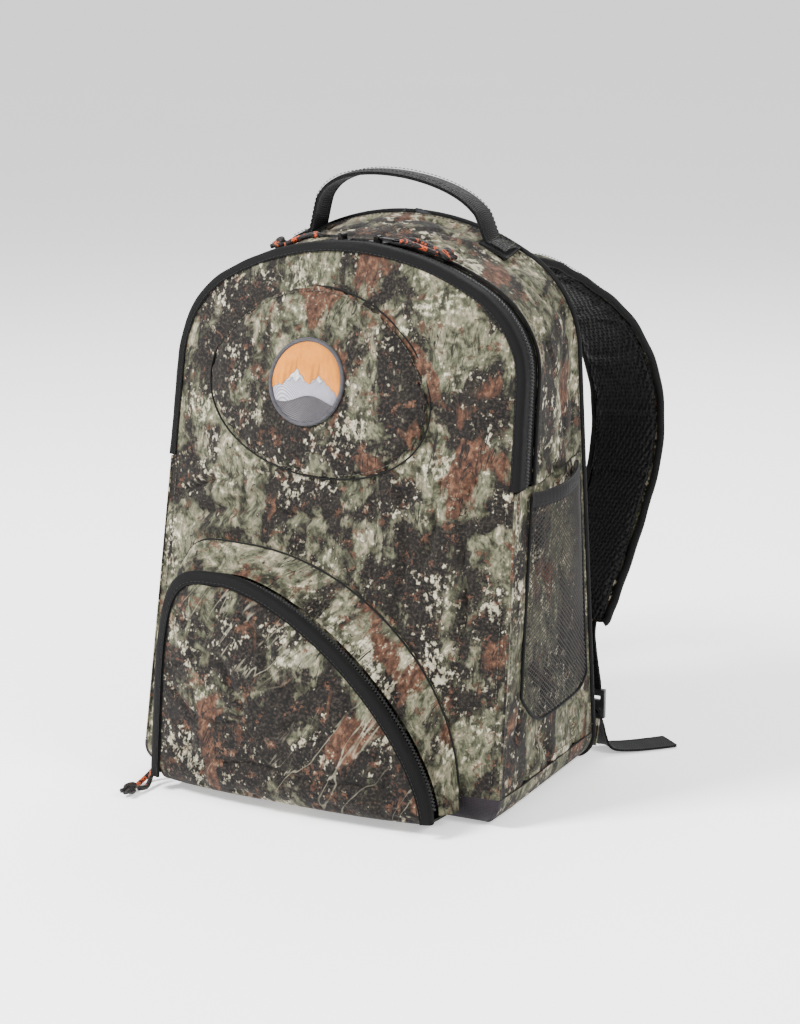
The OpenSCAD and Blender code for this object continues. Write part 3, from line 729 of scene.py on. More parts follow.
def make_pulls():
    for side, label in SIDES:
        centre, tip = on_crown([MAIN_KNOT, np.add(MAIN_KNOT, (1, 0, -0.27))], side)
        routes = [on_crown(route, side) for route in MAIN_ROUTES]
        make_pull(label, routes, centre, tip - centre, 11, "main_%s_" + label)
    make_pull("pocket", POCKET_ROUTES, POCKET_KNOT, (0, -1, 0), 12, "pocket_%s")


make_pulls()


# ---- Bag panels ----

BASE_WRAP = 11  # height of the base cloth on the front
BASE_R = 18     # rounding of the bag's lower front edge
BASE_COLS = 60  # grid points across the base
PANEL_T = 2.0
SEED_FRONT, SEED_SIDE, SEED_TOP, SEED_POCKET, SEED_BASE = 0.0, 0.31, 0.62, 0.93, 1.27


def smooth(value, low, high):
    """0 below low, 1 above high, with an even slope between."""
    u = np.clip((value - low) / (high - low), 0, 1)
    return u * u * (3 - 2 * u)


def round_foot(z, radius=BASE_R):
    """How far a face's foot curves back at a height z above its lowest point."""
    u = np.clip(radius - z, 0, radius)
    return radius - np.sqrt(radius**2 - u**2)


def front_grid(stops, across):
    """Points of the front and their place across it, from -1 to 1."""
    s, p = mesh_grid(stops, across)
    x, z = outline(s, 3 - 2.4 * smooth(s, ZIP_END + 2, ZIP_END + 10))
    x = p * x
    return np.stack([x, face_y(x, z) + round_foot(z), z], -1), p


OVAL_C, OVAL_R, OVAL_TILT = (-15, 322), (98, 71), math.radians(-8)
OVAL_TAPER = 0.16  # how much narrower the oval is at its top


def rise_of(points):
    """1 in the middle of the oval, 0 at its rim and outside."""
    dx, dz = points[..., 0] - OVAL_C[0], points[..., 2] - OVAL_C[1]
    a = dx * math.cos(OVAL_TILT) + dz * math.sin(OVAL_TILT)
    b = dz * math.cos(OVAL_TILT) - dx * math.sin(OVAL_TILT)
    v = np.clip(b / OVAL_R[1], -1, 1)
    w = np.sqrt(1 - v * v) * (1 - OVAL_TAPER * v) * OVAL_R[0]
    return np.maximum(0, 1 - (a / np.maximum(w, 1))**2) * (1 - v * v)


def front_creases(points, p):
    """Soft folds of the front cloth, none along its edges."""
    x, z = points[..., 0], points[..., 2]
    edge = smooth(1 - np.abs(p), 0.0, 0.22)
    edge = edge * smooth(z, 10, 40) * smooth(CROWN_Z + CROWN_R - z, 2, 30)
    under_badge = np.exp(-((z - 226) / 26)**2) * smooth(60 - x, 0, 80)
    right = smooth(x, 20, 70) * smooth(z, 20, 60) * smooth(310 - z, 0, 60)
    lift = 3.0 * noise_at(points, 64, seed=1)
    lift -= 7.5 * under_badge * crease(points, 30, (2.6, 1, 0.9), 3)
    lift -= 6.0 * right * crease(points, 34, (0.8, 1, 3.0), 5)
    lift += 1.8 * noise_at(points, 20, (1.6, 1, 1.0), 7)
    lift *= 1 - 0.85 * smooth(rise_of(points), 0.0, 0.25)
    # One long fold rises from the left edge towards the oval's foot
    line = z - (205 + 0.36 * (x + 128))
    span_fold = smooth(x, -138, -110) * smooth(-30 - x, 0, 30)
    lift -= 6.5 * span_fold * np.exp(-(line / 5.5)**2)
    lift += 3.0 * span_fold * np.exp(-((line + 14) / 9)**2)
    return lift * edge


def wrap_base(obj):
    """The base's coated cloth comes a little way up the front."""
    materials = obj.data.materials
    materials.append(COATED)
    for face in obj.data.polygons:
        rise = BASE_WRAP + 12 * smooth(face.center.x / MM, 70, 140)
        if face.material_index == 0 and face.center.z < rise * MM:
            face.material_index = len(materials) - 1


def make_front():
    stops = np.concatenate([np.linspace(3, END_LEG, 150), np.linspace(END_LEG + 2, END_CORNER - 5, 18)])
    points, p = front_grid(stops, np.linspace(-1, 1, 92))
    obj = cloth_sheet("front_cloth", pushed(points, front_creases(points, p)), PANEL_T, CAMO, LINING, None,
                      SEED_FRONT, (points[..., 0], points[..., 2]), "camo_cloth",
                      "front_panel front_lower_panel")
    wrap_base(obj)
    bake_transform(obj)


def side_creases(points, depth_share):
    edge = smooth(depth_share, 0, 0.12) * smooth(1 - depth_share, 0, 0.12)
    lift = 2.4 * noise_at(points, 46, (1, 1, 1.6), 11) - 1.0
    lift -= 3.6 * crease(points, 36, (1, 0.9, 2.4), 13)
    lift += 1.1 * noise_at(points, 16, (1, 1, 1.4), 15)
    return lift * edge


def skin_sheet(name, stops, start, cols, seed, amount, slot, node, outer=CAMO_SIDE):
    """Sheet round the bag's side from a depth at each stop to the back."""
    s, v = mesh_grid(stops, np.linspace(0, 1, cols))
    t = start[:, None] + v * (back_end(stops) - start)[:, None]
    points = skin(s, t)
    lifted = pushed(points, np.minimum(1.2, side_creases(points, v) * amount))
    return cloth_sheet(name, lifted, PANEL_T, outer, LINING, "root", seed,
                       (t, -s * np.sign(s + 1e-6)), slot, node)


def back_end(stops):
    return depth(outline(stops)[1]) - PANEL_T - 1.5


def make_sides():
    for side, label in SIDES:
        stops = np.linspace(ZIP_END + 0.5, END_LEG - 0.5, 90)
        s = stops * side if side > 0 else -stops[::-1]
        skin_sheet("side_cloth_" + label, s, round_foot(outline(s)[1]), 64, SEED_SIDE + 0.1 * side, 1.0,
                   "camo_cloth", "side_panel_" + label)


def make_top():
    stops = np.linspace(-ZIP_END, ZIP_END, 230)
    skin_sheet("top_cloth", stops, np.full(len(stops), 30.0), 36, SEED_TOP, 0.8, "camo_cloth", "top_gusset")


def make_base():
    """Base: camouflage round the sides, coated cloth underneath."""
    half = np.concatenate([np.linspace(END_LEG, END_CORNER, 16), np.linspace(END_CORNER + 4, END_BASE, 24)])
    stops = np.concatenate([half, -half[-2::-1]])
    start = round_foot(np.maximum(outline(stops)[1], 0.0)) - 0.5
    mesh = skin_sheet("base_cloth", stops, start, BASE_COLS, SEED_BASE, 0.0, "coated_cloth", "base_panel",
                      COATED).data
    mesh.materials.append(CAMO_SIDE)
    index = np.zeros(len(mesh.polygons), np.int32)
    mesh.polygons.foreach_get("material_index", index)
    rows = index[:(len(stops) - 1) * (BASE_COLS - 1)].reshape(-1, BASE_COLS - 1)
    turned = int(np.sum(half < END_CORNER + 5)) - 1
    rows[:turned] = rows[-turned:] = 2
    mesh.polygons.foreach_set("material_index", index)


make_front()
make_sides()
make_top()
make_base()


# ---- Main zip ----

FLAP_END = ZIP_END - 1
COVER_T, CHAIN_T = 2.4, 21.0
BAND_FACE = 5  # width of the band on the front panel
BAND_INSIDE = (BAND_FACE, 4, 3, 2, 0.8, -0.8, -1.9, -2.1, -2.0, -1.9, -1.7, -1.5, -1.2, -0.8, 0)
BAND_DEPTH = (-1.6, -1.9, -2.1, -2.1, -1.9, -1.3, 0.2, 2, 4, 6, 8, 10, 12, 14, 15.4)


def cover_grid(stops):
    """Cloth band that wraps from the front panel over the zip."""
    s, o = mesh_grid(stops, BAND_INSIDE)
    x, z = outline(s, np.maximum(o, 0))
    on_face = smooth(o, -0.5, 2.0)
    y = front_y(z) * (1 - on_face) + face_y(x, z) * on_face + np.array(BAND_DEPTH)
    x, z = outline(s, o)
    points = np.stack([x, y, z], -1)
    shape = np.sin(np.pi * np.linspace(0, 1, len(BAND_DEPTH)))
    return pushed(points, 0.4 * noise_at(points, 16, seed=21) * shape)


def make_zip_cover():
    stops = np.linspace(-FLAP_END, FLAP_END, 260)
    points = cover_grid(stops)
    cloth_sheet("main_zip_band", points, COVER_T, TRIM, TAPE, "main_flap", 0.4,
                (run_length(points, 1), stops[:, None]), "zip_trim", "main_zip_cover")
    rows = points[3:-3]
    stitches("zip_band_stitches_front", rows[:, 1] + np.array([0, -0.2, 0]), THREAD, "main_flap")
    stitches("zip_band_stitches_rear", rows[:, 11] + 0.15 * outward(stops[3:-3]), THREAD, "main_flap")


def outward(s):
    """Outward unit vectors of the outline."""
    a = normal_angle(np.abs(s))
    return np.stack([np.sign(s) * np.sin(a), 0 * a, np.cos(a)], -1)


def make_tape(name, t0, t1, body, node):
    """Zip tape round the opening between two depths."""
    s, t = mesh_grid(np.linspace(-FLAP_END, FLAP_END, 180), np.linspace(t0, t1, 5))
    cloth_sheet(name, skin(s, t, 3), 1.0, TAPE, TAPE, body, 0.7, (t, s), "zip_trim", node)


TOOTH_PITCH, TOOTH_R = 2.6, 0.75


def teeth(name, places, outs, node=None):
    """Two rows of coil teeth that mesh along a line; outs point away from the cloth."""
    parts = []
    across, rise = np.array([0.0, 1.0, 0.0]), np.array([[0.2], [0.75], [0.6], [-0.4]])
    for i, (place, out) in enumerate(zip(places, outs)):
        reach = np.array([[-0.5], [0.4], [1.6], [2.7]]) * (1 if i % 2 else -1)
        parts.append(tube_mesh(place + reach * across + rise * out,
                               TOOTH_R * np.array([0.9, 1.05, 1.0, 0.8]), 6))
    new_object(name, *merged(parts), [COIL], "root", "zip_chain", node)


def make_main_chain():
    s = np.arange(-FLAP_END + 1, FLAP_END, TOOTH_PITCH / 2)
    teeth("main_zip_coil", skin(s, np.full(len(s), CHAIN_T), 2.3), outward(s), "main_zip_chain")


make_zip_cover()
make_main_chain()
make_tape("flap_tape", 3.4, 18.0, "main_flap", "flap_zip_tape")
make_tape("gusset_tape", 24.2, 34, "root", "gusset_zip_tape")


HEM_DEPTH, HEM_STITCH_DEPTH = 30.6, 34.5


def make_gusset_hem():
    """Turned hem of the top cloth beside the zip, and its stitches."""
    s = np.linspace(-ZIP_END + 1, ZIP_END - 1, 240)
    tube_object("gusset_hem", skin(s, np.full(len(s), HEM_DEPTH), 0.5), 1.5, 10, BINDING, "root")
    stitches("gusset_stitches", skin(s, np.full(len(s), HEM_STITCH_DEPTH)) + 1.0 * outward(s))


make_gusset_hem()


# ---- Front pocket ----

POCKET_HW, POCKET_TOP, POCKET_LOW = 119, 172, 12
SEAM_LEFT, SEAM_RIGHT, SEAM_TOP = 19, 8, 194
POCKET_Y, POCKET_LEAN, POCKET_BULGE, POCKET_PEAK = -150, 0.1, 14, -64
POCKET_COVER, POCKET_CHAIN, POCKET_FOOT_R = 13, 18, 20
FACE_IN, FACE_UNDER = 3.4, 6.5  # face inside the zip, and how far it turns under
LEFT_POWER, RIGHT_POWER, SEAM_POWER = 5, 1.5, 2


def arch(left, right, top, power, a):
    """Arch from its left foot (-90 degrees) over its peak (0) to its right foot (90)."""
    r = np.radians(a)
    q = np.where(a < 0, LEFT_POWER, power)
    w = np.where(a < 0, POCKET_PEAK + left, right - POCKET_PEAK)
    c = np.maximum(0, np.cos(r))**(2 / q)
    s = np.abs(np.sin(r))**(2 / q)
    return POCKET_PEAK + np.sign(a) * w * s, POCKET_LOW + (top - POCKET_LOW) * c


def zip_arch(a, o=0):
    return arch(POCKET_HW - o, POCKET_HW - o, POCKET_TOP - o, RIGHT_POWER, a)


def pocket_plane_y(z):
    return POCKET_Y + POCKET_LEAN * z


def pocket_edge(a, t, o):
    """Point of the pocket's rim: t behind its face and o inside the zip's arch."""
    x, z = zip_arch(a, o)
    return np.stack([x, pocket_plane_y(z) + t, z], -1)


def pocket_side(a, u):
    """Point of the pocket's side, from the zip (u = 0) to the seam on the bag (1)."""
    fx, fz = zip_arch(a)
    bx, bz = arch(POCKET_HW + SEAM_LEFT, POCKET_HW + SEAM_RIGHT, SEAM_TOP, SEAM_POWER, a)
    fy = pocket_plane_y(fz) + POCKET_CHAIN + 4.6
    by = face_y(bx, bz) - 1.6
    return np.stack([fx + (bx - fx) * u, fy + (by - fy) * u, fz + (bz - fz) * u], -1)


def arch_angles(count):
    """Angles that space the pocket's arch evenly."""
    a = np.concatenate([-90 * np.linspace(1, 0, 800)**0.5, 90 * np.linspace(0, 1, 800)[1:]**0.8])
    length = run_length(np.stack(zip_arch(a), 1))
    return np.interp(np.linspace(0, length[-1], count), length, a)


ARCH = arch_angles(150)


def make_pocket_gusset():
    a, u = mesh_grid(ARCH, np.linspace(0.0, 1.0, 20))
    points = pocket_side(a, u)
    left = smooth(-points[..., 0], 80, 125)
    lift = 2.6 + 4.0 * left + 2.4 * noise_at(points, 24, seed=31) - 3.0 * crease(points, 22, seed=33)
    lift *= np.sin(np.pi * u)
    cloth_sheet("pocket_side_cloth", pushed(points, lift), PANEL_T, CAMO, LINING, "root", SEED_POCKET + 0.2,
                (run_length(points[:, :1]), u * 34), "camo_cloth", "pocket_gusset")
    # Painted shade: a thin black tube along the seam where the pocket's side meets the bag stands in for the
    # shade in that crease.
    rim = pocket_side(ARCH, np.full(len(ARCH), 0.97))
    tube_object("pocket_seam", rim + np.array([0, -0.4, 0]), 0.8, 8, BINDING, "root")
    line = pocket_side(ARCH[2:-2], np.full(len(ARCH) - 4, 0.08))
    stitches("pocket_side_stitches", line + 0.9 * edge_normal(line))


def edge_normal(path):
    """Normals that point out of an arch drawn left to right."""
    t = np.gradient(path, axis=0)
    n = np.stack([-t[:, 2], 0 * t[:, 0], t[:, 0]], 1)
    return n / np.linalg.norm(n, axis=1, keepdims=True)


def cover_roll():
    """The pocket's zip cover: a tubular fold of trim cloth, and the place across it."""
    a, v = mesh_grid(ARCH, np.linspace(0, 1, 14))
    bulge = 5.2 * np.sin(np.pi * np.clip(v * 1.1 - 0.05, 0, 1))**0.7 - 3.4 * smooth(0.3 - v, 0, 0.3)
    points = pocket_edge(a, -2.6 + (POCKET_COVER + 2.6) * v - 2.0 * np.sin(np.pi * v), -bulge)
    return pushed(points, 0.4 * noise_at(points, 18, seed=41) * np.sin(np.pi * v)), v


def make_pocket_zip():
    points, v = cover_roll()
    cloth_sheet("pocket_zip_band", points, 2.4, TRIM, TAPE, "pocket_flap", 0.9,
                (v * 16, run_length(points[:, :1])), "zip_trim", "pocket_zip_cover")
    stitches("pocket_band_stitches", points[2:-2, 1] + np.array([0, -0.3, 0]), THREAD, "pocket_flap")
    a, t = mesh_grid(ARCH, np.linspace(POCKET_COVER + 1.0, POCKET_CHAIN + 2.0, 4))
    cloth_sheet("pocket_tape", pocket_edge(a, t, 2.8), 1.4, TAPE, TAPE, "root", 0.2, None, "zip_trim",
                "pocket_zip_tape")
    line = pocket_edge(arch_angles(330), float(POCKET_CHAIN), 1.6)
    teeth("pocket_zip_coil", line[8:-4], edge_normal(line)[8:-4])


def arch_x(side, h):
    """Edge of the pocket's face at a share h of its height."""
    q = LEFT_POWER if side < 0 else RIGHT_POWER
    return POCKET_PEAK + (side * (POCKET_HW - FACE_IN) - POCKET_PEAK) * np.maximum(0, 1 - h**q)**(1 / q)


def pocket_face_grid(heights, across):
    """Domed face of the pocket; heights below 0 turn under it."""
    h, p = mesh_grid(heights, across)
    up, under = np.maximum(h, 0), np.clip(-h, 0, 1)
    z = POCKET_LOW + (POCKET_TOP - FACE_IN - POCKET_LOW) * up - FACE_UNDER * np.sin(under * np.pi / 2)
    x0, x1 = arch_x(-1, up), arch_x(1, up)
    swell = POCKET_BULGE * np.sin(np.pi * (0.16 + 0.82 * up))**0.6
    x = (x0 + x1) / 2 + p * (x1 - x0) / 2
    y = pocket_plane_y(POCKET_LOW + 156 * up) - swell * (1 - np.abs(p)**3)
    y = y + round_foot(z - (POCKET_LOW - FACE_UNDER), POCKET_FOOT_R) + 60 * np.maximum(0, under - 0.5)
    return np.stack([x, y, z], -1), p, h


def make_pocket_face():
    heights = np.concatenate([np.linspace(0.996, 0.0, 84), np.linspace(-0.1, -1, 12)])
    points, p, h = pocket_face_grid(heights, np.linspace(-1, 1, 96))
    edge = smooth(1 - np.abs(p), 0, 0.16) * smooth(1 - h, 0, 0.12) * smooth(h, -0.1, 0.12)
    lift = 2.6 * noise_at(points, 44, seed=51) - 3.4 * crease(points, 40, (1.4, 1, 0.8), 53)
    lift += 0.9 * noise_at(points, 16, seed=55)
    obj = cloth_sheet("pocket_front_cloth", pushed(points, lift * edge), PANEL_T, CAMO_LOW, LINING, None,
                      SEED_POCKET, (points[..., 0], points[..., 2]), "camo_cloth", "pocket_face pocket_floor")
    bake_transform(obj)


make_pocket_gusset()
make_pocket_zip()
make_pocket_face()


# ---- Net pockets on the sides ----

NET_TOP, NET_LOW, NET_WIDTH, NET_OPEN = 288, 458, 92.0, 13
BINDING_W, NET_PITCH, NET_R = 9, 2.7, 0.31


def net_low(v):
    """Lower edge of the net, rounded at its front corner."""
    return NET_LOW - 26 * np.maximum(0, 1 - v / 0.34)**2.2 - 8 * np.maximum(0, (v - 0.8) / 0.2)**2


def net_at(s, v, side=1, extra=0.0):
    """Point of the net: s down the bag's side, v from front to back, extra outwards."""
    low = np.clip((s - NET_TOP) / (NET_LOW - NET_TOP), 0, 1)
    t0, t1 = 24.0, depth(outline(s)[1]) - 14
    bow = np.sin(np.pi * np.clip(v, 0, 1))
    ripple = 0.8 * np.sin(7 * v + 2.2 * low) * bow * (1 - low)
    out = -1.4 - NET_OPEN * bow * (1 - 0.8 * low * low) - ripple - extra
    return skin(s, t0 + v * (t1 - t0), out) * np.array([side, 1, 1])


def net_threads(side):
    """Threads of a knotless net: two families of slanting lines."""
    parts = []
    height = float(NET_LOW - NET_TOP)
    u = np.linspace(0, 1, 46)
    for slant in (1, -1):
        for start in np.arange(-height, NET_WIDTH + height, NET_PITCH * math.sqrt(2)):
            across = start + slant * u * height
            v, s = across / NET_WIDTH, NET_TOP + u * height
            keep = (v >= 0) & (v <= 1) & (s <= net_low(np.clip(v, 0, 1)))
            if keep.sum() > 2:
                wave = 0.25 * slant * np.cos(np.pi * across[keep] / (NET_PITCH * 1.41) * 2)
                parts.append(tube_mesh(net_at(s[keep], v[keep], side, wave), NET_R, 4))
    return merged(parts)


def make_net_pocket(side, label):
    new_object("net_" + label, *net_threads(side), [NET], "root", "pocket_mesh", "mesh_pocket_" + label)
    v = np.linspace(0.0, 1.0, 70)
    s, across = mesh_grid(np.linspace(NET_TOP - BINDING_W, NET_TOP + 3, 8), v[::side])
    fullness = 0.9 * np.sin(np.pi * np.linspace(0, 1, 8))[:, None]
    band = net_at(s, across, side, fullness + 0.22 * np.sin(across * 150))
    cloth_sheet("net_binding_" + label, band, 1.8, ELASTIC, ELASTIC, "root", 0.5, None, "webbing",
                "mesh_binding_" + label)
    seam = net_at(np.full(70, NET_TOP - 0.6), v, side, 0.7)
    stitches("net_binding_stitches_" + label, seam, THREAD)
    front = net_at(np.linspace(NET_TOP - 4, net_low(np.array(0.0)), 40), np.zeros(40), side)
    back = net_at(np.linspace(net_low(np.array(1.0)), NET_TOP - 4, 40), np.ones(40), side)
    rim = np.concatenate([front, net_at(net_low(v), v, side)[1:], back[1:]])
    tube_object("net_rim_" + label, rim, 1.3, 8, BINDING, "root")


for side, label in SIDES:
    make_net_pocket(side, label)


# ---- Padded pieces: a closed shape blown up by the cloth simulation ----

SIM_FRAMES, SIM_PRESSURE = 20, 4.0


def evaluated(obj):
    """Vertices (millimetres) and faces of an object with its modifiers."""
    mesh = obj.evaluated_get(bpy.context.evaluated_depsgraph_get()).data
    co = np.empty(len(mesh.vertices) * 3, np.float32)
    mesh.vertices.foreach_get("co", co)
    return co.reshape(-1, 3).astype(float) / MM, [tuple(p.vertices) for p in mesh.polygons]


def remeshed(verts, faces, voxel):
    obj = new_object("remesh", verts, faces, [])
    modifier = obj.modifiers.new("remesh", "REMESH")
    modifier.mode, modifier.voxel_size = "VOXEL", voxel * MM
    result = evaluated(obj)
    bpy.data.objects.remove(obj)
    return result


def blown(verts, faces):
    """The same mesh after the cloth simulation with air pressure and no gravity."""
    obj = new_object("blown", verts, faces, [])
    cloth = obj.modifiers.new("cloth", "CLOTH")
    cloth.settings.quality = 5
    cloth.settings.mass = 0.3
    cloth.settings.tension_stiffness = cloth.settings.compression_stiffness = 12
    cloth.settings.bending_stiffness = 0.4
    cloth.settings.use_pressure = True
    cloth.settings.uniform_pressure_force = SIM_PRESSURE
    cloth.settings.effector_weights.gravity = 0
    cloth.point_cache.frame_start, cloth.point_cache.frame_end = 1, SIM_FRAMES
    for frame_number in range(1, SIM_FRAMES + 1):
        bpy.context.scene.frame_set(frame_number)
    result = evaluated(obj)[0]
    bpy.data.objects.remove(obj)
    bpy.context.scene.frame_set(1)
    return result


def puffed(verts, faces, voxel, cap, out=None):
    """Swells a closed pad by at most cap millimetres, and only along out if that is given."""
    verts, faces = remeshed(verts, faces, voxel)
    move = blown(verts, faces) - verts
    move *= np.minimum(1, cap / np.maximum(np.linalg.norm(move, axis=1, keepdims=True), 1e-9))
    if out:
        move *= (move @ np.asarray(out, float) > 0)[:, None]
    return verts + move, faces


def subdivided(obj):
    modifier = obj.modifiers.new("subdivision", "SUBSURF")
    modifier.levels = modifier.render_levels = 1
    return obj


def closed_grid(outer, inner):
    """Vertices and faces of a closed shape between two grids."""
    verts = np.concatenate([outer.reshape(-1, 3), inner.reshape(-1, 3)])
    return verts, np.concatenate(sheet_faces(*outer.shape[:2])).tolist()


def padded_object(name, shape, pattern, material, body, slot, node):
    """Stuffed piece with a smooth surface; pattern gives x, y and the seed."""
    obj = new_object(name, *shape, [material], body, slot, node)
    set_pattern(obj, *pattern)
    return subdivided(obj)


# ---- Padded oval and patch on the flap ----

BADGE_CAP = 2.6


def oval_place(u, v, grow=1.0):
    """Place on the oval: u across and v up, both from -1 to 1; it narrows upwards."""
    w = np.sqrt(np.maximum(0.0, 1 - v * v)) * (1 - OVAL_TAPER * v)
    a, b = u * w * OVAL_R[0] * grow, v * OVAL_R[1] * grow
    x = OVAL_C[0] + a * math.cos(OVAL_TILT) - b * math.sin(OVAL_TILT)
    z = OVAL_C[1] + a * math.sin(OVAL_TILT) + b * math.cos(OVAL_TILT)
    return x, z


def make_badge():
    rows = np.sin(np.linspace(np.pi / 2 - 0.12, -np.pi / 2 + 0.12, 40))
    v, u = mesh_grid(rows, np.linspace(-1, 1, 56))
    x, z = oval_place(u, v)
    rise = np.maximum(0, (1 - v * v) * (1 - u**4))
    outer = np.stack([x, face_y(x, z) - 1.2 - 3.6 * rise**0.45, z], -1)
    inner = np.stack([x, face_y(x, z) + 0.4, z], -1)
    verts, faces = puffed(*closed_grid(outer, inner), 3.0, BADGE_CAP, (0, -1, 0))
    verts[:, 1] += 0.9 * np.clip(noise_at(verts, 20, seed=61), -1, 1) * (rise_of(verts) > 0.2)
    return padded_object("badge_cloth", (verts, faces), (verts[:, 0], verts[:, 2], 2.13), CAMO_BADGE,
                         "main_flap", "badge_cloth", "badge_panel")


def badge_outline(grow, lift):
    """Line round the padded oval, lift millimetres in front of the panel."""
    t = np.linspace(0, 2 * np.pi, 220, endpoint=False)
    x, z = oval_place(np.sign(np.cos(t)), np.sin(t), grow)
    w = np.sqrt(np.maximum(1e-6, 1 - np.sin(t)**2))
    x = np.where(w < 0.02, oval_place(0 * t, np.sin(t), grow)[0], x)
    return np.stack([x, face_y(x, z) - lift, z], 1)


PATCH_C, PATCH_R = (-20, 322), 31.5
PEAKS = ((-9.0, 9.0, 1.05), (11.0, 5.0, 0.8), (-24, -3, 0.7))  # place, height and slope of each


def ridge(x):
    """Outline of the patch's mountains."""
    top = np.full(np.shape(x), -12.0)
    for centre, height, slope in PEAKS:
        top = np.maximum(top, height - slope * np.abs(x - centre))
    return top + 0.7 * np.sin(x * 1.3)


def level(height):
    """Straight edge at one height, for an area of the patch."""
    return lambda x: 0 * x + height


def make_patch(badge):
    """Round embroidered patch: a plain mountain scene, with a merrowed edge."""
    bpy.context.view_layer.update()
    surface = badge.evaluated_get(bpy.context.evaluated_depsgraph_get())

    def laid(x, z, lift):
        """Points on the padded oval, lift millimetres proud of it."""
        y = []
        for a, b in zip(np.ravel(x), np.ravel(z)):
            hit, place = surface.ray_cast(Vector((a * MM, -0.4, b * MM)), Vector((0, 1, 0)))[:2]
            y.append(place.y / MM if hit else float(face_y(a, b)))
        return np.stack([x, np.reshape(y, np.shape(x)) - lift, z], -1)

    def region(name, low, high, lift, material, node=None):
        """Stitched area between two curves over the patch's width."""
        x = np.linspace(-PATCH_R + 0.6, PATCH_R - 0.6, 60)
        rim = np.sqrt(np.maximum(0, (PATCH_R - 0.4)**2 - x * x))
        lower = np.clip(low(x), -rim, rim)
        upper = np.clip(high(x), lower, rim)
        z = lower + np.linspace(1, 0, 16)[:, None] * (upper - lower)
        points = laid(PATCH_C[0] + x + 0 * z, PATCH_C[1] + z, lift)
        cloth_sheet(name, points, 0.9, material, material, "main_flap", lift, None, "patch_twill", node)

    region("patch_ground", level(-40), level(40), 0.9, PATCH_GROUND, "badge_patch")
    region("patch_sky", lambda x: ridge(x) + 0.5, level(40), 1.3, PATCH_ORANGE)
    region("patch_snow", lambda x: np.minimum(ridge(x), 1.5 + 1.6 * np.sin(x * 0.9)), ridge, 1.6, PATCH_PALE)
    region("patch_hills", level(-40), lambda x: -13 + 3 * np.sin(x * 0.13 + 1), 1.5, PATCH_DARK)
    t = np.linspace(0, 2 * np.pi, 260, endpoint=False)
    line = laid(PATCH_C[0] + PATCH_R * np.cos(t), PATCH_C[1] + PATCH_R * np.sin(t), 0.9)
    loop_tube("patch_edge", line, 1.7 + 0.16 * np.sin(t * 65 * 2), 10, PATCH_EDGE, "main_flap",
              "patch_twill", [0, 2, 1])


def make_badge_trim():
    # Painted shadow: a thin black tube round the padded oval stands in for the shade in the crease at its
    # seam.
    loop_tube("oval_crease_painted_shade", badge_outline(1.0, 0.8), 0.7, 8, BINDING, "main_flap", "badge_cloth")
    inside = badge_outline(0.955, 3.1)
    stitches("badge_stitches", np.concatenate([inside, inside[:1]]), PALE_THREAD, "main_flap")


make_patch(make_badge())
make_badge_trim()


# ---- Webbing: flat ribbons modelled directly ----

WEB_W, WEB_T = 25, 1.6


def ribbon_grid(path, across, width, cup):
    w, n = path_frames(path, across)
    u = np.linspace(-0.5, 0.5, 9)
    width = np.broadcast_to(width, (len(path),))
    return (path[:, None] + u[None, :, None] * (width[:, None] * w)[:, None]
            - (cup * (2 * u)**2)[None, :, None] * n[:, None])


def ribbon(name, path, across, width, thick, material, body, node=None, cup=0.0, seed=0.0):
    """Flat webbing along a path; cup bends its edges towards the bag."""
    obj = cloth_sheet(name, ribbon_grid(path, across, width, cup), thick, material, material, body, seed,
                      None, "webbing", node)
    bevel = obj.modifiers.new("bevel", "BEVEL")
    bevel.width, bevel.segments, bevel.limit_method = 0.35 * MM, 2, "ANGLE"
    return obj


HANDLE_HALF, HANDLE_FOOT, HANDLE_TOP, HANDLE_Y = 77, 424, 474, 42
HANDLE_DEPTH = 92.0  # how far behind the front the handle is sewn on


def handle_path():
    """Middle line of the handle's webbing, from its left end to its right end."""
    a = np.linspace(6, 173, 40)
    b = np.pi * (a / 180)**0.82
    middle = np.stack([-HANDLE_HALF * np.cos(np.radians(a)), np.full(40, float(HANDLE_Y)),
                       HANDLE_FOOT + (HANDLE_TOP - HANDLE_FOOT) * np.sin(b)**0.8], 1)
    s = np.array([100.0, 93.0, 86.0])
    right = skin(s, np.full(3, HANDLE_DEPTH)) + 4.3 * outward(s)
    right[:, 1] = HANDLE_Y
    left = right * np.array([-1, 1, 1])
    return spline(np.concatenate([left, [[-80.0, HANDLE_Y, 425.5]], middle[2:-2:2],
                                  [[80.0, HANDLE_Y, 424.5]], right[::-1]]), 4)


def make_handle():
    path = handle_path()
    w, n = path_frames(path, (0, 1, 0))
    pieces = [ribbon("handle_webbing", path, (0, 1, 0), WEB_W, 2.6, WEBBING, None, "grab_handle", 1.6, 0.8)]
    for k, offset in enumerate((-9.5, 9.5)):
        pieces.append(stitches("handle_stitches_%d" % k, path + offset * w + 0.15 * n, THREAD, None))
    for piece in pieces:
        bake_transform(piece)
    for side, label in SIDES:
        s, t = mesh_grid(np.linspace(76, 103, 14)[::side] * side, np.linspace(77, 107, 12))
        cloth_sheet("handle_patch_" + label, skin(s, t, -1.9), 1.6, BINDING, BINDING, "root", 0.6, (s, t),
                    "webbing", "handle_anchor_" + label)
        box_stitches("handle_box_" + label, side)


def box_stitches(name, side):
    """Box and cross sewn through a handle's end, over its webbing and its patch."""
    corners = [(84, 83), (98, 83), (98, 101), (84, 101), (84, 83), (98, 101), (98, 83), (84, 101)]
    for k, (a, b) in enumerate(zip(corners[:-1], corners[1:])):
        s, t = np.linspace(a[0], b[0], 12) * side, np.linspace(a[1], b[1], 12)
        on_webbing = np.abs(t - HANDLE_DEPTH) < WEB_W / 2 - 0.5
        lift = np.where(on_webbing, 4.7, 2.2)
        stitches("%s_%d" % (name, k), skin(s, t) + lift[:, None] * outward(s))


make_handle()


# ---- Shoulder straps ----

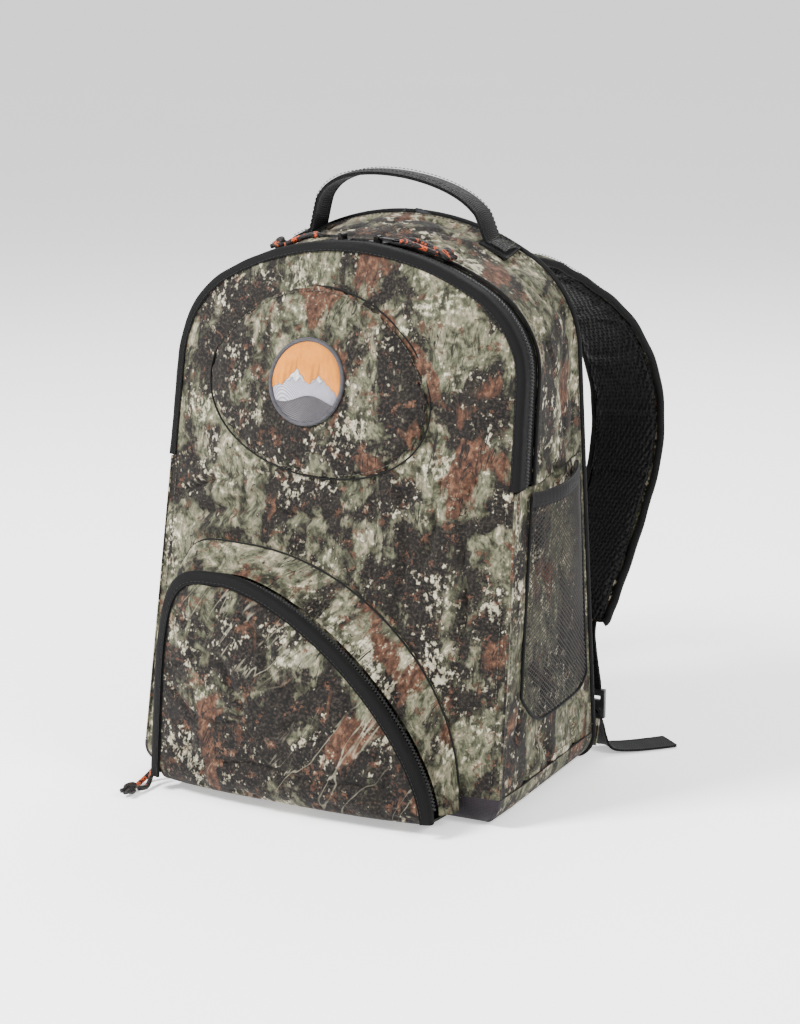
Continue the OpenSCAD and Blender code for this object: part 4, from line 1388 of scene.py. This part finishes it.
STRAP_PATH = spline([[62, 78, 404], [70, 108, 404], [86, 152, 381], [107, 190, 345], [121, 212, 294],
                     [127, 206, 236], [129, 168, 180], [131, 122, 130], [132, 104, 106]], 12)
STRAP_ACROSS = (-1, 0.1, 0)
STRAP_SIDE, STRAP_OUT = path_frames(STRAP_PATH, STRAP_ACROSS)
STRAP_END_W, STRAP_W, SHELL_T, LINING_T = 44, 64, 4.5, 4.0
STRAP_SWELL = np.sin(np.pi * np.linspace(0, 1, len(STRAP_PATH)))**0.6
STRAP_HALF = (STRAP_END_W + (STRAP_W - STRAP_END_W) * STRAP_SWELL) / 2


def strap_line(offset, lift):
    """Line along the strap: offset from its middle, lift above its outer face."""
    return STRAP_PATH + np.reshape(offset, (-1, 1)) * STRAP_SIDE + np.reshape(lift, (-1, 1)) * STRAP_OUT


def strap_pad(low, high, shrink):
    """Closed rounded pad along the strap between two depths under its outer face."""
    angle = np.linspace(0, 2 * np.pi, 36, endpoint=False)
    c, s = np.cos(angle), np.sin(angle)
    a, b = np.sign(c) * np.abs(c)**0.35, np.sign(s) * np.abs(s)**0.6
    middle, thick = (low + high) / 2, (high - low) / 2
    rings = np.stack([strap_line((STRAP_HALF - shrink) * x, middle + thick * y) for x, y in zip(a, b)], 1)
    return rings.reshape(-1, 3), [face[::-1] for face in ring_faces(*rings.shape[:2])]


def strap_places(points):
    """Length along the strap, distance from its middle, depth and normal at points."""
    nearest = np.argmin(((points[:, None] - STRAP_PATH[None])**2).sum(2), 1)
    t, w, n = tangents(STRAP_PATH)[nearest], STRAP_SIDE[nearest], STRAP_OUT[nearest]
    d = points - STRAP_PATH[nearest]
    return run_length(STRAP_PATH)[nearest] + (d * t).sum(1), (d * w).sum(1), (d * n).sum(1), n


QUILT_AT = (62, 118, 171, 226, 283)


def quilt(points):
    """Sewn ridges across the lining, which the foam rises between."""
    along, across, depth_in, normal = strap_places(points)
    lift = np.zeros(len(points))
    for k, place in enumerate(QUILT_AT):
        wander = place + 3.0 * np.sin(across * 0.09 + k) + 0.10 * across
        lift += 1.9 * np.exp(-((along - wander) / 3.4)**2) - 1.2 * np.exp(-((along - wander - 9) / 8)**2)
    inner = smooth(-depth_in, 6.0, 8.5) * smooth(30 - np.abs(across), 0, 8)
    return points - normal * (lift * inner)[:, None]


def mirrored(verts, faces, side):
    """The same mesh on the right side, or its mirror image on the left."""
    if side > 0:
        return verts, faces
    return verts * np.array([-1, 1, 1]), [tuple(reversed(f)) for f in faces]


def make_straps():
    shell = puffed(*strap_pad(-SHELL_T, 0, 0.8), 2.6, 1.2)
    verts, faces = puffed(*strap_pad(-SHELL_T - 0.4 - LINING_T, -SHELL_T - 0.3, 2.2), 2.6, 2.2)
    lining = quilt(verts), faces
    for side, label in SIDES:
        for key, shape, material, slot in (("shell", shell, CAMO_SIDE, "camo_cloth"),
                                           ("lining", lining, AIR_MESH, "air_mesh")):
            along, across = strap_places(shape[0])[:2]
            padded_object("strap_%s_pad_%s" % (key, label), mirrored(*shape, side),
                          (across, along, 0.3 * side), material, "strap_" + label, slot,
                          "strap_%s_%s" % (key, label))
        make_strap_trim(label, np.array([side, 1, 1]), "strap_" + label)


def make_strap_trim(label, flip, body):
    """Binding, rows of stitches, the webbing down the middle and the sewn head."""
    for key, sign in (("inner", -1), ("outer", 1)):
        wave = 0.5 * np.sin(np.arange(len(STRAP_PATH)) * 0.9 + sign)
        edge = strap_line(sign * (STRAP_HALF - 0.6), wave - SHELL_T - 0.2)
        tube_object("strap_binding_%s_%s" % (key, label), edge * flip, 3.1, 12, BINDING, body, "webbing")
        for k, inset in enumerate((5.2, 13.0)):
            row = strap_line(sign * (STRAP_HALF - inset), 0.5 * k - SHELL_T - LINING_T - 1.7)
            stitches("strap_stitches_%s_%d_%s" % (key, k, label), row[3:-3] * flip, THREAD, body)
        row = strap_line(sign * (STRAP_HALF - 5.0), 0.9)
        stitches("strap_shell_stitches_%s_%s" % (key, label), row[3:-3] * flip, THREAD, body)
    across = np.array(STRAP_ACROSS) * flip * flip[0]
    spine = strap_line(0, 1.9)[8:-2] * flip
    ribbon("strap_spine_" + label, spine, across, 20, WEB_T, WEBBING, body, seed=0.2)
    for k, offset in enumerate((-8, 8)):
        row = strap_line(offset, 2.2)[8:-2] * flip
        stitches("strap_spine_stitches_%d_%s" % (k, label), row, THREAD, body)
    head = spline([[62, 80, 402.6], [64, 86, 403.6], [66, 92, 403.8], [68, 98, 403.5]], 6) * flip
    ribbon("strap_head_" + label, head, across, STRAP_END_W, 6.0, BINDING, body)


make_straps()


# ---- Webbing below the straps ----

LOCK_X = 138
LOWER_WEB = [[132.2, 104, 112], [132.4, 101, 100], [134, 100.6, 86], [136, 100.8, 72], [LOCK_X, 101.4, 58],
             [LOCK_X, 101.6, 50]]
TAIL = [[139, 104.5, 37], [142, 107, 24], [146, 107, 12], [153, 109, 4], [165, 118, 1.9], [180, 134, 1.3],
        [193, 149, 1.3]]
WING = [[[112, 88.5, 10], [133, 88.5, 9], [153, 88.0, 10]],
        [[118, 92, 19], [136, 92.5, 19], [153, 92, 19]],
        [[124, 97, 30], [LOCK_X, 97.5, 30], [152, 97, 30]]]


def make_lower_webbing(side, label):
    """Webbing from the strap's end to its lock, the free end, and the cloth wing it is sewn to."""
    flip = np.array([side, 1, 1])
    webbing = ribbon("strap_lower_webbing_" + label, spline(LOWER_WEB, 5) * flip, (-1, 0, 0), WEB_W, WEB_T,
                     WEBBING, None, "strap_webbing_" + label, seed=0.3)
    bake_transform(webbing)
    ribbon("webbing_end_" + label, spline(TAIL, 6) * flip, (1, -0.6 * side, 0), WEB_W, WEB_T, WEBBING,
           "root", "webbing_tail_" + label, seed=0.5)
    wing = refine(WING, 8)[::-1, ::-1]
    if side < 0:
        wing = (wing * flip)[:, ::-1]
    cloth_sheet("anchor_cloth_" + label, wing, PANEL_T, CAMO_SIDE, CAMO_SIDE, "root", 1.6, None,
                "camo_cloth", "anchor_wing_" + label)


def refine(grid, steps):
    """Smooth grid through a coarse one."""
    rows = np.array([spline(row, steps) for row in grid])
    return np.stack([spline(rows[:, j], steps) for j in range(rows.shape[1])], 1)


for side, label in SIDES:
    make_lower_webbing(side, label)


# ---- Back ----


def back_grid(stops, across, lift=0, inside=0):
    """Grid over the bag's back, inside its outline and lift behind it."""
    s, p = mesh_grid(stops, across)
    q = skin(s, depth(outline(s, inside)[1]), inside)
    return np.stack([-p * q[..., 0], q[..., 1] + lift, q[..., 2]], -1)


def make_back_cloth():
    across = np.linspace(-1, 1, 60)
    stops = np.concatenate([np.linspace(5, END_LEG, 90), np.linspace(END_LEG + 3, END_CORNER - 6, 10)])
    points = back_grid(stops, across)
    points[..., 1] += 0.5 * noise_at(points, 30, seed=71) * smooth(1 - np.abs(across), 0, 0.2)
    cloth_sheet("back_cloth", points, PANEL_T + 1, BACK_MESH, LINING, "root", 0.4,
                (points[..., 0], points[..., 2]), "air_mesh", "back_panel")


def make_back_piping():
    """Piping round the back, and the stitches beside it."""
    half = np.concatenate([np.linspace(0, END_CORNER, 220), np.linspace(END_CORNER + 4, END_BASE, 30)])
    s = np.concatenate([half, -half[-2:0:-1]])
    rim = skin(s, depth(outline(s)[1]) - 0.6) + 0.2 * outward(s)
    rim[:, 2] = np.maximum(rim[:, 2], 2.3)
    loop_tube("back_piping", rim, 2.2, 12, BINDING, "root", "webbing", [0, 1, 2])
    for part, mask in (("left", s < 0), ("right", s >= 0)):
        line = s[mask & (np.abs(s) < END_LEG)]
        row = skin(line, depth(outline(line)[1]) - 6.0) + 0.35 * outward(line)
        stitches("back_edge_stitches_" + part, row)


PAD_CAP = 3.5


def pad_shape(x0, x1, z0, z1, thick):
    """Closed pad with rounded corners on the back, between two widths and heights."""
    angle = np.linspace(-np.pi / 2, np.pi / 2, 26)
    v, u = mesh_grid(-np.sin(angle), np.sin(angle))
    corner = 1 - 0.055 * (u * v)**4
    x = (x0 + x1) / 2 + u * corner * (x1 - x0) / 2
    z = (z0 + z1) / 2 + v * corner * (z1 - z0) / 2
    dome = (np.maximum(0, 1 - u**6) * np.maximum(0, 1 - v**6))**0.5
    outer = np.stack([x, back_face_y(z) + 1.2 + (thick - PAD_CAP + 1.5) * dome, z], -1)
    inner = np.stack([x, back_face_y(z) + 0.6, z], -1)
    return closed_grid(outer[:, ::-1], inner[:, ::-1])


def pad_channels(verts, x0, x1, z0, z1, rows, columns):
    """Sewn channels across a pad, with a little puckering beside them."""
    u = (2 * verts[:, 0] - x0 - x1) / (x1 - x0)
    v = (2 * verts[:, 2] - z0 - z1) / (z1 - z0)
    front = smooth(verts[:, 1] - back_face_y(verts[:, 2]), 2.0, 5.0)
    sink = np.zeros(len(verts))
    for place, size, channels in ((v, z1 - z0, rows), (u, x1 - x0, columns)):
        for channel in channels:
            sink += np.exp(-(((place - channel) * size / 2) / 3.2)**2)
    verts[:, 1] -= front * (3.6 * np.minimum(1, sink))
    verts[:, 1] += front * 0.5 * noise_at(verts, 16, seed=73)


UPPER_PAD, LUMBAR_PAD = (22, 104, 135, 360), (-106, 106, 45, 118)


def back_pad(area, thick, rows, columns):
    """Vertices and faces of a swollen pad with its sewn channels."""
    verts, faces = puffed(*pad_shape(*area, thick), 4.0, PAD_CAP, (0, 1, 0))
    pad_channels(verts, *area, rows, columns)
    return verts, faces


def make_back_pads():
    upper = back_pad(UPPER_PAD, 9, (-0.5, 0.0, 0.5), ())
    for side, label in SIDES:
        place_pad("back_cushion_" + label, *mirrored(*upper, side), "back_pad_" + label)
    place_pad("lumbar_cushion", *back_pad(LUMBAR_PAD, 10, (), (-0.42, 0.42)), "lumbar_pad")
    for label, (x0, x1, z0, z1) in (("back_rim_left", UPPER_PAD), ("back_rim_right", UPPER_PAD),
                                    ("lumbar_rim", LUMBAR_PAD)):
        pad_rim(label, *((-x1, -x0) if label.endswith("left") else (x0, x1)), z0, z1)


def place_pad(name, verts, faces, node):
    padded_object(name, (verts, faces), (verts[:, 0], verts[:, 2], 0.9), AIR_MESH, "root", "air_mesh", node)


def pad_rim(name, x0, x1, z0, z1):
    """Binding sewn round a pad's foot."""
    t = np.linspace(0, 2 * np.pi, 200, endpoint=False)
    c, s = np.cos(t), np.sin(t)
    u, v = np.sign(c) * np.abs(c)**0.22, np.sign(s) * np.abs(s)**0.22
    x, z = (x0 + x1) / 2 + u * (x1 - x0 + 5) / 2, (z0 + z1) / 2 + v * (z1 - z0 + 5) / 2
    line = np.stack([x, back_face_y(z) + 0.7, z], 1)
    loop_tube(name, line, 1.5, 8, BINDING, "root", "webbing", [0, 1, 2])


def make_yoke():
    """Reinforcement across the back that the straps and the handle pull on."""
    z, x = mesh_grid(np.linspace(412, 372, 12), np.linspace(80, -80, 40))
    points = np.stack([x, back_face_y(z) + 2.6 + 0.4 * np.cos(x * 0.09), z], -1)
    cloth_sheet("strap_yoke_cloth", points, PANEL_T, CAMO_SIDE, LINING, "root", 2.6, (x, z), "camo_cloth",
                "strap_yoke")
    for k, height in enumerate((408, 376, 379.5)):
        y = back_face_y(height) + 3.3
        stitches("yoke_stitches_%d" % k, np.linspace([77, y, height], [-77, y, height], 60))
    loop = spline([[-22, 60, 404], [-20, 64, 399], [-12, 70, 385], [0, 72.5, 380], [12, 70, 385],
                   [20, 64, 399], [22, 60, 404]], 8)
    ribbon("hang_loop", loop, (0, 0.35, 1), 10, 1.4, WEBBING, "root")


def make_sleeve():
    points = back_grid(np.linspace(110, END_LEG - 40, 30), np.linspace(-0.85, 0.85, 30), -9.5, 14)
    cloth_sheet("inner_sleeve_cloth", points, 1.0, LINING, LINING, "root", 0.9,
                (points[..., 0], points[..., 2]), "coated_cloth", "inner_sleeve")


make_back_cloth()
make_back_piping()
make_back_pads()
make_yoke()
make_sleeve()


# ---- Seams along the sides, and the hard pieces that keep their CAD shape ----


def make_side_seams():
    """Seams beside the front, and the stitches along them and round the foot."""
    front = front_grid(np.linspace(ZIP_END + 10, END_LEG - 12, 110), np.array([-0.955, 0.955]))[0]
    for side, label in SIDES:
        s = np.linspace(ZIP_END + 3, END_LEG - 8, 120) * side
        start = round_foot(outline(s)[1])
        stitches("side_stitches_" + label, skin(s, start + 4.0) + 0.45 * outward(s))
        tube_object("side_seam_" + label, skin(s, start + 0.2, 0.9), 1.0, 8, CAMO_SIDE, "root")
        low = np.full(40, END_LEG - 7.0) * side
        hem = skin(low, np.linspace(16, 1, 40)[::-1] * (depth(20.0) - 10) / 16 + 6) + 0.5 * outward(low)
        stitches("hem_stitches_" + label, hem)
        edge = front[:, 0 if side < 0 else 1]
        stitches("front_edge_stitches_" + label, edge + np.array([0, -0.4, 0]))


make_side_seams()
HARD_PIECES = ((SLIDER, "main_slider_left main_slider_right main_pull_left main_pull_right"),
               (SLIDER, "pocket_slider pocket_pull"), (PLASTIC, "ladder_lock_left ladder_lock_right"),
               (BOARD, "frame_sheet"))
for node_material, node_names in HARD_PIECES:
    for node_name in node_names.split():
        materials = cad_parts[node_name].data.materials
        materials.clear()
        materials.append(node_material)


# ---- Floor and lights ----


def make_floor():
    mesh = bpy.data.meshes.new("floor")
    r = 40.0
    mesh.from_pydata([(-r, -r, 0), (r, -r, 0), (r, r, 0), (-r, r, 0)], [], [(0, 1, 2, 3)])
    floor = bpy.data.objects.new("floor", mesh)
    bpy.context.collection.objects.link(floor)
    s = Shader("floor", Roughness=0.9, Specular_IOR_Level=0.1, Emission_Strength=0.55)
    s.colour(s.ramp(s.noise(s.object_place(), 0.5), (0.3, "fbfbfb"), (0.7, "ffffff")))
    mesh.materials.append(s.material)


def make_light(name, azimuth, elevation, distance, size, watts):
    data = bpy.data.lights.new(name, "AREA")
    data.size, data.energy = size, watts
    aimed(name, data, azimuth, elevation, distance)


def make_world():
    world = bpy.data.worlds.new("studio")
    world.use_nodes = True
    inputs = world.node_tree.nodes["Background"].inputs
    inputs[0].default_value, inputs[1].default_value = (1, 1, 1, 1), 0.8
    bpy.context.scene.world = world


make_floor()
make_world()
make_light("key", -40, 42, 2.3, 0.7, 150)
make_light("side", 75, 35, 2.4, 1.0, 60)
make_light("rim", 190, 50, 2.4, 1.0, 50)
